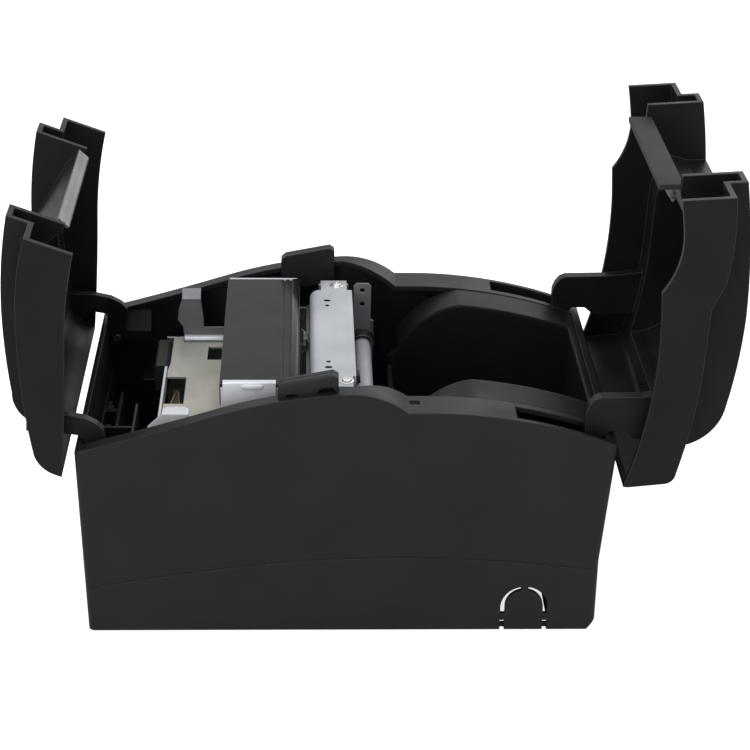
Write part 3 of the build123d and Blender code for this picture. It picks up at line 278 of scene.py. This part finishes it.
MATERIALS = {
    # The lighter edge tone each plastic is given is a painted highlight along its edges
    "case_plastic": plastic(
        "case_plastic", (0.0075, 0.0078, 0.0088), (0.0100, 0.0103, 0.0115), 0.46,
        gloss=0.24, edge_highlight=2.5,
    ),
    "cover_plastic": plastic(
        "cover_plastic", (0.0058, 0.0060, 0.0068), (0.0080, 0.0083, 0.0093), 0.43,
        gloss=0.17, edge_highlight=9.0,
    ),
    "hinge_steel": sheet_metal(
        "hinge_steel", (0.10, 0.10, 0.11), (0.15, 0.15, 0.16), 0.38, grain=BRUSHED_ALONG_X,
    ),
    "foot_rubber": rubber("foot_rubber", (0.02, 0.02, 0.021)),
    "screw_steel": sheet_metal(
        "screw_steel", (0.55, 0.56, 0.57), (0.72, 0.72, 0.72), 0.3, scale=900.0,
    ),
    "tear_steel": sheet_metal(
        "tear_steel", (0.155, 0.16, 0.165), (0.215, 0.22, 0.225), 0.42, grain=BRUSHED_ALONG_X,
    ),
    "slot_plate_grey": plastic(
        "slot_plate_grey", (0.025, 0.028, 0.031), (0.034, 0.037, 0.040), 0.6, gloss=0.12,
    ),
    "chassis_steel": sheet_metal(
        "chassis_steel", (0.42, 0.43, 0.45), (0.58, 0.59, 0.61), 0.4, scale=120.0,
    ),
    "zinc_beige": sheet_metal(
        "zinc_beige", (0.44, 0.43, 0.38), (0.55, 0.535, 0.48), 0.5,
        metallic=0.55, grain=BRUSHED_ALONG_X,
    ),
    "white_metal": sheet_metal(
        "white_metal", (0.66, 0.68, 0.71), (0.77, 0.785, 0.81), 0.5,
        metallic=0.3, grain=BRUSHED_ALONG_X,
    ),
    "head_cover_grey": plastic(
        "head_cover_grey", (0.0085, 0.0088, 0.0105), (0.0145, 0.015, 0.0172), 0.3,
        grain=1200.0, relief=0.03, gloss=0.13, edge_highlight=5.0,
    ),
    "platen_steel": sheet_metal(
        "platen_steel", (0.045, 0.046, 0.05), (0.075, 0.076, 0.08), 0.35, grain=BRUSHED_ALONG_X,
    ),
    "shaft_steel": sheet_metal(
        "shaft_steel", (0.60, 0.61, 0.63), (0.72, 0.73, 0.74), 0.22, grain=BRUSHED_ALONG_X,
    ),
    "feed_rubber": rubber("feed_rubber", (0.03, 0.03, 0.032)),
    "roller_grey": plastic(
        "roller_grey", (0.50, 0.51, 0.53), (0.60, 0.61, 0.63), 0.38, relief=0.08, edge_highlight=1.1,
    ),
    "gear_nylon": plastic(
        "gear_nylon", (0.56, 0.54, 0.47), (0.66, 0.64, 0.57), 0.42, relief=0.1, edge_highlight=1.1,
    ),
    "motor_can": sheet_metal(
        "motor_can", (0.38, 0.38, 0.40), (0.50, 0.50, 0.52), 0.36, scale=500.0,
    ),
    "carriage_plastic": plastic(
        "carriage_plastic", (0.018, 0.018, 0.019), (0.026, 0.026, 0.027), 0.5, gloss=0.2,
    ),
    "head_aluminium": sheet_metal(
        "head_aluminium", (0.42, 0.42, 0.44), (0.54, 0.54, 0.56), 0.45, scale=700.0,
    ),
    "board_green": circuit_board("board_green"),
    "chip_black": plastic(
        "chip_black", (0.010, 0.010, 0.010), (0.016, 0.016, 0.016), 0.55, gloss=0.2,
    ),
    "socket_black": plastic(
        "socket_black", (0.012, 0.012, 0.013), (0.02, 0.02, 0.021), 0.36, gloss=0.2,
    ),
    "socket_steel": sheet_metal(
        "socket_steel", (0.56, 0.57, 0.58), (0.7, 0.71, 0.72), 0.28, scale=400.0,
    ),
    "button_grey": plastic(
        "button_grey", (0.022, 0.023, 0.026), (0.032, 0.033, 0.036), 0.4, gloss=0.2,
    ),
    "lens_green": lens("lens_green", (0.015, 0.06, 0.028)),
    "switch_black": plastic(
        "switch_black", (0.008, 0.008, 0.009), (0.013, 0.013, 0.014), 0.22, relief=0.08,
    ),
    "spring_brass": sheet_metal(
        "spring_brass", (0.26, 0.19, 0.10), (0.36, 0.27, 0.15), 0.36, grain=BRUSHED_ALONG_X,
    ),
}

# Nodes whose finish differs from the rest of their slot; the darker tones of the two brackets, the ribbon
# spring and the paper bucket are painted shade

NODE_FINISHES_AND_SHADE = {
    # Darker tone of the two brackets: painted shade
    "roller_bracket_left": sheet_metal(
        "bracket_painted_shade", (0.15, 0.155, 0.165), (0.21, 0.215, 0.225), 0.5, metallic=0.5,
    ),
    "far_bracket": sheet_metal(
        "far_bracket_painted_shade", (0.155, 0.16, 0.175), (0.215, 0.22, 0.235), 0.48, metallic=0.5,
    ),
    "paper_guide": sheet_metal(
        "guide_metal", (0.43, 0.45, 0.48), (0.52, 0.535, 0.565), 0.5,
        metallic=0.4, grain=BRUSHED_ALONG_X,
    ),
    # Darker brass tone of the ribbon spring: painted shade
    "ribbon_spring": sheet_metal(
        "spring_brass_painted_shade", (0.030, 0.024, 0.018), (0.050, 0.041, 0.031), 0.5, metallic=0.5,
    ),
    "chassis_base": sheet_metal(
        "blackened_steel", (0.014, 0.013, 0.012), (0.024, 0.022, 0.020), 0.6, metallic=0.3,
    ),
    # Darker tone of the deep paper bucket than the case plastic: painted shade
    "paper_bucket": plastic(
        "bucket_plastic", (0.0050, 0.0052, 0.0060), (0.0072, 0.0075, 0.0084), 0.48,
        gloss=0.15, edge=0.0025, edge_highlight=1.0,
    ),
}


def dress_nodes():
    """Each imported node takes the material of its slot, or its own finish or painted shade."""
    for entry in frame["record"]["subparts"]:
        node = NODES[entry["node"]]
        node.data.materials.clear()
        finish = NODE_FINISHES_AND_SHADE.get(entry["node"], MATERIALS[entry["material_slot"]])
        node.data.materials.append(finish)


# Drawing of the small pieces, in millimetres

SHARP_ANGLE = math.radians(38.0)
SUNK = 0.1  # how far a piece is let into the one that carries it


def make_piece(name, build, body, slot, *hidden):
    """Turn a drawn mesh into a piece that rides on a body and takes a slot's finish."""
    bmesh.ops.scale(build, vec=(MM, MM, MM), verts=build.verts)
    bmesh.ops.recalc_face_normals(build, faces=build.faces)
    mesh = bpy.data.meshes.new(name)
    build.to_mesh(mesh)
    build.free()
    mesh.shade_smooth()
    mesh.set_sharp_from_angle(angle=SHARP_ANGLE)
    mesh.materials.append(MATERIALS[slot])
    made = bpy.data.objects.new(name, mesh)
    bpy.context.scene.collection.objects.link(made)
    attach(made, body)
    if hidden:
        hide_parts(*hidden)


def full_turn(count):
    """Evenly spaced angles round a circle."""
    return [2 * math.pi * k / count for k in range(count)]


def circle_outline(x, y, radius):
    """Points of a circle."""
    return [(x + radius * math.cos(t), y + radius * math.sin(t)) for t in full_turn(32)]


def moved(outline, across, along):
    """An outline shifted in its own plane."""
    return [(p[0] + across, p[1] + along) for p in outline]


def in_space(point, distance, axis):
    """A point of a flat outline, set at a distance along an axis."""
    if axis == "X":
        return (distance, point[0], point[1])
    if axis == "Y":
        return (point[0], distance, point[1])
    return (point[0], point[1], distance)


def join_rings(build, rings):
    """Skin a row of equal rings of points, and close its two ends."""
    loops = [[build.verts.new(point) for point in ring] for ring in rings]
    count = len(loops[0])
    for lower, upper in zip(loops, loops[1:]):
        for k in range(count):
            after = (k + 1) % count
            build.faces.new((lower[k], lower[after], upper[after], upper[k]))
    build.faces.new(loops[0])
    build.faces.new(loops[-1])


def add_plate(build, outline, start, stop, axis, soft=0.0):
    """A flat outline carried along one axis, with its edges rounded when soft is above zero."""
    before = set(build.verts)
    ends = [[in_space(point, distance, axis) for point in outline] for distance in (start, stop)]
    join_rings(build, ends)
    if soft:
        fresh = [vert for vert in build.verts if vert not in before]
        edges = list({edge for vert in fresh for edge in vert.link_edges})
        bmesh.ops.bevel(build, geom=edges, offset=soft, segments=2, profile=0.5, affect="EDGES")


def add_wire(build, path, radius, sides=10):
    """A round wire along a path of points."""
    points = [Vector(point) for point in path]
    last = len(points) - 1
    rings = []
    across = None
    for k, point in enumerate(points):
        ahead = (points[min(k + 1, last)] - points[max(k - 1, 0)]).normalized()
        if across is None:
            across = Vector((0, 0, 1)) if abs(ahead.z) < 0.9 else Vector((1, 0, 0))
        across = (across - ahead * across.dot(ahead)).normalized()
        over = ahead.cross(across)
        ring = [math.cos(t) * across + math.sin(t) * over for t in full_turn(sides)]
        rings.append([point + radius * way for way in ring])
    join_rings(build, rings)


# Screw heads. Lengths of the head's form and of its cross recess are shares of its radius and height.

HEAD_PROFILE = ((1.0, 0.0), (1.0, 0.5), (0.93, 0.76), (0.78, 0.94))
CROSS_HALF_WIDTH = 0.17
CROSS_HALF_LENGTH = 0.58
CROSS_CORNER = CROSS_HALF_WIDTH / CROSS_HALF_LENGTH + 0.02
CROSS_FOOT = 0.72
ARM_ANGLES = (-45.0, -30.0, -17.0, 0.0, 17.0, 30.0)
HEAD_TURNS = [math.radians(90.0 * arm + angle) for arm in range(4) for angle in ARM_ANGLES]

GUIDE_SCREW_SPOTS = ((-54.5, -3.0), (54.5, 0.0))
GUIDE_SCREW = {"radius": 2.3, "height": 1.05, "depth": 0.8}
WASHER_RADIUS = 3.4
WASHER_HEIGHT = 0.35
BASE_SCREW_RADIUS = 3.0
BASE_SCREW = {"radius": BASE_SCREW_RADIUS, "height": -1.0, "depth": -0.6}


def cross_reach(turn):
    """How far the cross recess reaches from its centre in one direction."""
    along = max(abs(math.cos(turn)), abs(math.sin(turn)))
    beside = min(abs(math.cos(turn)), abs(math.sin(turn)))
    if beside / along <= CROSS_CORNER:
        return CROSS_HALF_LENGTH / along
    return CROSS_HALF_WIDTH / beside


def head_ring(centre, radius, reach, rise):
    """Ring of points round a screw head, at its own reach in each direction."""
    return [
        (centre[0] + radius * r * math.cos(t), centre[1] + radius * r * math.sin(t), centre[2] + rise)
        for r, t in zip(reach, HEAD_TURNS)
    ]


def add_screw_head(build, centre, radius, height, depth):
    """A domed screw head with a cross recess; a negative height points down."""
    cross = [cross_reach(turn) for turn in HEAD_TURNS]
    foot = [CROSS_FOOT * reach for reach in cross]
    rings = [
        head_ring(centre, radius, [share] * len(HEAD_TURNS), rise * height)
        for share, rise in HEAD_PROFILE
    ]
    rings.append(head_ring(centre, radius, cross, height))
    rings.append(head_ring(centre, radius, foot, height - depth))
    join_rings(build, rings)


def make_guide_screws():
    """Screw heads of the paper guide, each on a washer."""
    build = bmesh.new()
    seat = node_box("guide_screws")[0].z
    top = seat + WASHER_HEIGHT
    for x, y in GUIDE_SCREW_SPOTS:
        add_plate(build, circle_outline(x, y, WASHER_RADIUS), seat - SUNK, top, "Z", soft=0.08)
        add_screw_head(build, (x, y, top), **GUIDE_SCREW)
    make_piece("guide_screw_heads", build, "case", "screw_steel", "guide_screws")


def make_base_screws():
    """Screw heads of the base plate, one near each corner, seen from below."""
    build = bmesh.new()
    low, high = node_box("base_screws")
    for x in (low.x + BASE_SCREW_RADIUS, high.x - BASE_SCREW_RADIUS):
        for y in (low.y + BASE_SCREW_RADIUS, high.y - BASE_SCREW_RADIUS):
            add_screw_head(build, (x, y, high.z), **BASE_SCREW)
    make_piece("base_screw_heads", build, "case", "screw_steel", "base_screws")


# Trim of the head cover

TRIM_SOFT = 0.12
TRIM_GAP = 0.95  # from the side of the head cover to the hem, and to the outer face of the strip
HEM_SKIN = 0.8
HEM_RISE = 1.7
HEM_REACH = 1.7
HEM_FOLD = 0.5
HEM_CLEARANCE = 0.02
HEM_FOOT = 101.0
HEM_SPAN = (-56.0, -32.0)

# Embossed mark on the hem, as points (y, z)
MARK_OUTLINE = (
    (-47.7, 117.4), (-47.0, 118.3), (-45.9, 118.6), (-39.4, 118.6), (-38.3, 118.3),
    (-37.6, 117.4), (-38.3, 116.5), (-39.4, 116.2), (-45.9, 116.2), (-47.0, 116.5),
)
MARK_HEIGHT = 0.7
MARK_SUNK = 0.2
MARK_SOFT = 0.25

STRIP_FOOT = 100.0
STRIP_RISE = 0.4
STRIP_INSETS = (0.8, 1.5)

# Section of the guard as points (y, z), from the top rear edge of the head cover
GUARD_SECTION = ((-3.9, -0.05), (-3.7, 0.35), (-2.6, 0.7), (-1.2, 0.55), (-0.2, -0.05))
GUARD_INSETS = (0.6, 2.6)


def hem_section(side, top):
    """Section of the hem: up beside the head cover, over its edge and a little way down, as points (x, z)."""
    outer = side + HEM_SKIN
    inner = side - HEM_REACH
    back = inner - HEM_SKIN
    crest = top + HEM_RISE
    return [
        (outer, HEM_FOOT), (outer, crest - HEM_FOLD), (outer - HEM_FOLD, crest),
        (back + HEM_FOLD, crest), (back, crest - HEM_FOLD), (back, top + HEM_CLEARANCE),
        (inner, top + HEM_CLEARANCE), (inner, crest - HEM_SKIN), (side, crest - HEM_SKIN),
        (side, HEM_FOOT),
    ]


def make_head_cover_hem():
    """Bright hem over the near edge of the head cover, with its mark, and a strip on the far side."""
    low, high = node_box("head_cover")
    side = high.x + TRIM_GAP
    face = side + HEM_SKIN
    build = bmesh.new()
    add_plate(build, hem_section(side, high.z), *HEM_SPAN, "Y", TRIM_SOFT)
    add_plate(build, MARK_OUTLINE, face - MARK_SUNK, face + MARK_HEIGHT, "X", MARK_SOFT)
    front = low.y + STRIP_INSETS[0]
    rear = high.y - STRIP_INSETS[1]
    crest = high.z + STRIP_RISE
    strip = [(front, STRIP_FOOT), (rear, STRIP_FOOT), (rear, crest), (front, crest)]
    add_plate(build, strip, low.x - TRIM_GAP, low.x - SUNK, "X", TRIM_SOFT)
    make_piece("head_cover_hem", build, "case", "white_metal")


def make_head_cover_guard():
    """Dark guard along the rear edge of the head cover."""
    low, high = node_box("head_cover")
    section = moved(GUARD_SECTION, high.y, high.z)
    build = bmesh.new()
    add_plate(build, section, low.x + GUARD_INSETS[0], high.x - GUARD_INSETS[1], "X", soft=0.1)
    make_piece("head_cover_guard", build, "case", "switch_black")


# Rolled fold at the foot of the far bracket: its section as points (x, z), from the bracket's foot

FOLD_SECTION = ((0.0, 0.0), (-0.2, 1.5), (0.9, 2.7), (3.2, 2.7), (4.3, 1.4), (4.2, 0.0))
FOLD_INSET = 1.4
FOLD_LENGTH = 20.0
FOLD_END = 0.2


def make_far_fold():
    """Bright rolled fold along the foot of the far bracket."""
    low, high = node_box("far_bracket")
    deck_edge = node_box("zinc_deck")[0].x
    section = moved(FOLD_SECTION, deck_edge + FOLD_INSET, low.z)
    build = bmesh.new()
    add_plate(build, section, high.y - FOLD_LENGTH, high.y - FOLD_END, "Y", soft=0.4)
    make_piece("far_bracket_fold", build, "case", "white_metal")


# Hoods of the side tabs: the raised part as points (y, z), which leaves two recesses

HOOD_OUTLINE = (
    (-31.0, 114.0), (-31.0, 124.2), (-28.6, 126.2), (-6.4, 130.6), (-4.0, 129.0), (-4.0, 119.0),
    (-5.2, 119.0), (-5.6, 125.4), (-12.0, 124.6), (-13.6, 122.8), (-14.2, 118.0), (-20.4, 117.0),
    (-21.4, 120.6), (-23.0, 121.8), (-27.6, 121.4), (-28.2, 114.0),
)
HOOD_HEIGHT = 4.0
HOOD_SOFT = 0.7


def make_tab_hood(name, side, face):
    """Raised hood on the outer face of a side tab, over two shadowed recesses."""
    build = bmesh.new()
    add_plate(build, HOOD_OUTLINE, side * (face - SUNK), side * (face + HOOD_HEIGHT), "X", HOOD_SOFT)
    make_piece(name, build, "case", "case_plastic")


def make_tab_hoods():
    """The hoods of both side tabs."""
    make_tab_hood("right_tab_hood", 1, node_box("right_side_tab")[1].x)
    make_tab_hood("left_tab_hood", -1, -node_box("left_side_tab")[0].x)


# Details of the paper guide. Each dark cup in a slot, painted shade of the open hole, has its x and its two
# half widths, at one y.

SHADE_CUPS = ((-36.0, 0.66, 1.25), (40.0, 0.66, 1.25), (-30.0, 0.55, 0.55), (34.0, 0.55, 0.55))
SHADE_CUP_Y = -8.0

# Profile of a dark cup: distance outward from its hole, and height above the guide
SHADE_CUP_PROFILE = ((0.0, -1.6), (0.5, 0.02), (0.45, 0.12), (0.1, 0.14), (-0.08, 0.02), (-0.1, -1.5))

# Section of the dark piece as points (y, z), from the top rear edge of the guide
DARK_PIECE_SECTION = ((0.0, -0.6), (0.5, 0.3), (1.6, 0.0), (2.0, -4.0), (0.0, -5.0))
DARK_PIECE_SPAN = (43.0, 48.4)


def level_oval(x, y, z, half_x, half_y):
    """A level oval of points."""
    return [(x + half_x * math.cos(t), y + half_y * math.sin(t), z) for t in full_turn(24)]


def make_guide_shade_cups():
    """Dark cups in the slots of the paper guide: painted shade inside the open holes."""
    top = node_box("paper_guide")[1].z
    build = bmesh.new()
    for x, half_x, half_y in SHADE_CUPS:
        rings = [
            level_oval(x, SHADE_CUP_Y, top + rise, half_x + lip, half_y + lip)
            for lip, rise in SHADE_CUP_PROFILE
        ]
        join_rings(build, rings)
    # The dark cups stand in for the shade inside the slots: painted shade
    make_piece("guide_shade_cups", build, "case", "chip_black")


def make_guide_dark_piece():
    """Dark piece at the near rear corner of the paper guide."""
    high = node_box("paper_guide")[1]
    build = bmesh.new()
    add_plate(build, moved(DARK_PIECE_SECTION, high.y, high.z), *DARK_PIECE_SPAN, "X", soft=0.3)
    make_piece("guide_dark_piece", build, "case", "chip_black")


# Coil spring on the platen bar

SPRING_SPAN = (-4.0, 5.0)
SPRING_RADIUS = 1.55
SPRING_WIRE = 0.32
SPRING_COILS = 6
SPRING_STEPS = 14
SPRING_INSET = 2.3
SPRING_RISE = 1.95
LEG_LENGTH = 3.0
LEG_ENDS = ((-1.6, 1.6), (1.5, 2.4))  # y and z of the two legs' ends, from the axis of the coil


def make_spring():
    """Coil spring with straight legs, lying on the platen bar beside the paper guide."""
    bar = node_box("platen_bar")[1]
    y, z = bar.y - SPRING_INSET, bar.z + SPRING_RISE
    start, stop = SPRING_SPAN
    count = SPRING_COILS * SPRING_STEPS
    legs = [(y + across, z + up) for across, up in LEG_ENDS]
    path = [(start - LEG_LENGTH, *legs[0])]
    for k in range(count + 1):
        turn = 2 * math.pi * k / SPRING_STEPS
        along = start + (stop - start) * k / count
        path.append((along, y + SPRING_RADIUS * math.cos(turn), z + SPRING_RADIUS * math.sin(turn)))
    path.append((stop + LEG_LENGTH, *legs[1]))
    build = bmesh.new()
    add_wire(build, path, SPRING_WIRE)
    make_piece("guide_spring", build, "case", "hinge_steel")


# Clip over the tension roller

ARCH_GAP = 1.6
ARCH_THICKNESS = 0.6
ARCH_LENGTH = 8.0
ARCH_TURNS = [math.radians(5.0 + 10.0 * k) for k in range(18)]


def make_roller_clip():
    """Arched clip over the far end of the tension roller, folded out of its bracket."""
    low, high = node_box("tension_roller")
    y = (low.y + high.y) / 2
    z = (low.z + high.z) / 2
    inner = (high.z - low.z) / 2 + ARCH_GAP
    outer = inner + ARCH_THICKNESS
    bracket = node_box("roller_bracket_left")[1].x
    arch = [(y + outer * math.cos(t), z + outer * math.sin(t)) for t in ARCH_TURNS]
    arch += [(y + inner * math.cos(t), z + inner * math.sin(t)) for t in reversed(ARCH_TURNS)]
    build = bmesh.new()
    add_plate(build, arch, bracket - SUNK, bracket + ARCH_LENGTH, "X")
    make_piece("roller_clip", build, "case", "hinge_steel")


# Wire lever, as points (x, y), on the top of the flat spring under the deck's window

LEVER_PATH = (
    (19.0, -77.9), (10.0, -78.8), (-6.0, -80.6), (-8.4, -81.3), (-6.0, -82.0), (10.0, -84.2), (19.0, -85.4),
)
LEVER_RADIUS = 0.5
FLAT_SPRING_TOP = 80.0


def make_ribbon_lever():
    """Bent wire lever that lies on the flat spring under the window of the deck."""
    height = FLAT_SPRING_TOP + LEVER_RADIUS
    build = bmesh.new()
    add_wire(build, [(x, y, height) for x, y in LEVER_PATH], LEVER_RADIUS)
    make_piece("ribbon_lever", build, "case", "spring_brass")


# Inside of the rear sockets. Their contacts stand on the floor of each mouth.

SOCKET_FLOOR = 107.0
CONTACT_ROOT = SOCKET_FLOOR - 0.5

POWER_PINS = ((21.6, 15.6), (25.4, 15.6), (23.5, 12.4))
POWER_PIN = {"radius": 0.55, "ends": (5.6, 6.4)}

# Rows of the wide data socket: number of pins, first x and height
WIDE_ROWS = ((13, -47.4, 15.8), (12, -46.3, 12.8))
WIDE_PITCH = 2.2
WIDE_PIN = {"radius": 0.42, "ends": (4.4, 5.0), "sides": 8}
WIDE_CORE = ((-48.4, 11.6), (-19.6, 11.6), (-20.6, 17.0), (-47.4, 17.0))
WIDE_CORE_HEIGHT = 1.2

# Spring contacts of the cash drawer socket, as points (y past the floor, z)
DRAWER_CONTACT = ((-0.3, 18.6), (1.4, 18.0), (6.4, 14.4))
DRAWER_START = 5.3
DRAWER_PITCH = 1.28
DRAWER_COUNT = 6
DRAWER_WIRE = 0.24

# Flat contacts of the square data socket and the tongue under them
FLAT_START = -10.6
FLAT_PITCH = 1.75
FLAT_COUNT = 4
FLAT_SIZE = (0.9, 6.6)
FLAT_HEIGHTS = (14.5, 14.75)
TONGUE_X = (-11.6, -4.4)
TONGUE_HEIGHTS = (12.4, 14.6)
TONGUE_LENGTH = 7.4


def rectangle(x_span, y_span):
    """Points of a rectangle."""
    return [
        (x_span[0], y_span[0]), (x_span[1], y_span[0]), (x_span[1], y_span[1]), (x_span[0], y_span[1]),
    ]


def add_pin(build, x, z, radius, ends, sides=10):
    """A straight pin that stands on the floor of a socket."""
    path = [(x, CONTACT_ROOT, z)] + [(x, SOCKET_FLOOR + end, z) for end in ends]
    add_wire(build, path, radius, sides)


def make_socket_contacts():
    """Pins, spring contacts and flat contacts in the mouths of the rear sockets."""
    build = bmesh.new()
    for x, z in POWER_PINS:
        add_pin(build, x, z, **POWER_PIN)
    for count, first, z in WIDE_ROWS:
        for k in range(count):
            add_pin(build, first + WIDE_PITCH * k, z, **WIDE_PIN)
    for k in range(DRAWER_COUNT):
        x = DRAWER_START + DRAWER_PITCH * k
        add_wire(build, [(x, SOCKET_FLOOR + y, z) for y, z in DRAWER_CONTACT], DRAWER_WIRE, sides=8)
    for k in range(FLAT_COUNT):
        x = FLAT_START + FLAT_PITCH * k
        strip = rectangle((x, x + FLAT_SIZE[0]), (SOCKET_FLOOR, SOCKET_FLOOR + FLAT_SIZE[1]))
        add_plate(build, strip, *FLAT_HEIGHTS, "Z")
    make_piece("socket_contacts", build, "case", "spring_brass")


def make_socket_cores():
    """Tongue of the square data socket and insert of the wide one, which carry their contacts."""
    build = bmesh.new()
    tongue = rectangle(TONGUE_X, (CONTACT_ROOT, SOCKET_FLOOR + TONGUE_LENGTH))
    add_plate(build, tongue, *TONGUE_HEIGHTS, "Z", soft=0.2)
    add_plate(build, WIDE_CORE, CONTACT_ROOT, SOCKET_FLOOR + WIDE_CORE_HEIGHT, "Y", soft=0.3)
    make_piece("socket_cores", build, "case", "socket_black")


# Floor, surroundings and lamps

WHITE = (1.0, 1.0, 1.0, 1.0)
FLOOR_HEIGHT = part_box("rubber_feet")[0].z
FLOOR_RADIUS = 6.0
FLOOR_TONES = ((0.80, 0.80, 0.80), (0.84, 0.84, 0.84))
FLOOR_ROUGHNESS = 0.9
FLOOR_GLOW = 0.8
SKY_TINT = (0.92, 0.95, 1.0, 1.0)
SKY_STRENGTH = 0.4

# Each lamp: name, place, width in metres and power in watts
LAMPS = (
    ("lamp_above", (0.25, -0.2, 1.3), 1.2, 7.0),
    ("lamp_side", (1.3, -0.7, 0.7), 1.0, 9.0),
    ("lamp_rear_side", (1.1, 1.1, 0.5), 0.9, 5.0),
    ("lamp_behind", (-1.1, 0.7, 0.9), 1.0, 3.0),
)
LAMP_AIM = Vector((0.0, 0.0, 0.1))


def floor_material():
    """Pale floor: white to the camera, with the object's shadow kept."""
    material, tree, shader = new_material("floor")
    cloud = two_tone(tree, noise(tree, 3.0, detail=2.0), *FLOOR_TONES)
    tree.links.new(cloud, shader.inputs["Base Color"])
    shader.inputs["Roughness"].default_value = FLOOR_ROUGHNESS
    path = tree.nodes.new("ShaderNodeLightPath")
    glow = tree.nodes.new("ShaderNodeEmission")
    add = tree.nodes.new("ShaderNodeAddShader")
    mix = tree.nodes.new("ShaderNodeMixShader")
    output = next(node for node in tree.nodes if node.type == "OUTPUT_MATERIAL")
    glow.inputs["Color"].default_value = WHITE
    glow.inputs["Strength"].default_value = FLOOR_GLOW
    tree.links.new(shader.outputs["BSDF"], add.inputs[0])
    tree.links.new(glow.outputs["Emission"], add.inputs[1])
    tree.links.new(path.outputs["Is Camera Ray"], mix.inputs["Fac"])
    tree.links.new(shader.outputs["BSDF"], mix.inputs[1])
    tree.links.new(add.outputs["Shader"], mix.inputs[2])
    tree.links.new(mix.outputs["Shader"], output.inputs["Surface"])
    return material


def make_floor():
    """A wide round floor under the feet."""
    mesh = bpy.data.meshes.new("floor")
    build = bmesh.new()
    bmesh.ops.create_circle(build, cap_ends=True, segments=96, radius=FLOOR_RADIUS)
    build.to_mesh(mesh)
    build.free()
    floor = bpy.data.objects.new("floor", mesh)
    floor.location = (0.0, 0.0, FLOOR_HEIGHT)
    bpy.context.scene.collection.objects.link(floor)
    mesh.materials.append(floor_material())


def background(tree, colour, strength):
    """An even background light."""
    node = tree.nodes.new("ShaderNodeBackground")
    node.inputs["Color"].default_value = colour
    node.inputs["Strength"].default_value = strength
    return node.outputs["Background"]


def either(tree, one, other):
    """One where either of two ray tests holds."""
    node = tree.nodes.new("ShaderNodeMath")
    node.operation = "MAXIMUM"
    tree.links.new(one, node.inputs[0])
    tree.links.new(other, node.inputs[1])
    return node.outputs["Value"]


def make_world():
    """White behind everything seen directly, mirrored or through a lens, softer grey as a light."""
    world = bpy.data.worlds.new("world")
    bpy.context.scene.world = world
    world.use_nodes = True
    tree = world.node_tree
    tree.nodes.clear()
    path = tree.nodes.new("ShaderNodeLightPath")
    mix = tree.nodes.new("ShaderNodeMixShader")
    output = tree.nodes.new("ShaderNodeOutputWorld")
    seen = either(tree, path.outputs["Is Camera Ray"], path.outputs["Is Glossy Ray"])
    seen = either(tree, seen, path.outputs["Is Transmission Ray"])
    tree.links.new(seen, mix.inputs["Fac"])
    tree.links.new(background(tree, SKY_TINT, SKY_STRENGTH), mix.inputs[1])
    tree.links.new(background(tree, WHITE, 1.0), mix.inputs[2])
    tree.links.new(mix.outputs["Shader"], output.inputs["Surface"])


def light_scene():
    """One large lamp above, two on the camera's side and a weak one behind."""
    for name, place, width, power in LAMPS:
        data = bpy.data.lights.new(name, "AREA")
        data.shape = "SQUARE"
        data.size = width
        data.energy = power
        lamp = bpy.data.objects.new(name, data)
        bpy.context.scene.collection.objects.link(lamp)
        lamp.location = place
        lamp.rotation_euler = (LAMP_AIM - Vector(place)).to_track_quat("-Z", "Y").to_euler()


place_camera()
bpy.context.scene.view_settings.view_transform = "Standard"
make_floor()
make_world()
light_scene()
dress_nodes()
make_guide_screws()
make_base_screws()
make_head_cover_hem()
make_head_cover_guard()
make_far_fold()
make_tab_hoods()
make_guide_shade_cups()
make_guide_dark_piece()
make_spring()
make_roller_clip()
make_ribbon_lever()
make_socket_contacts()
make_socket_cores()
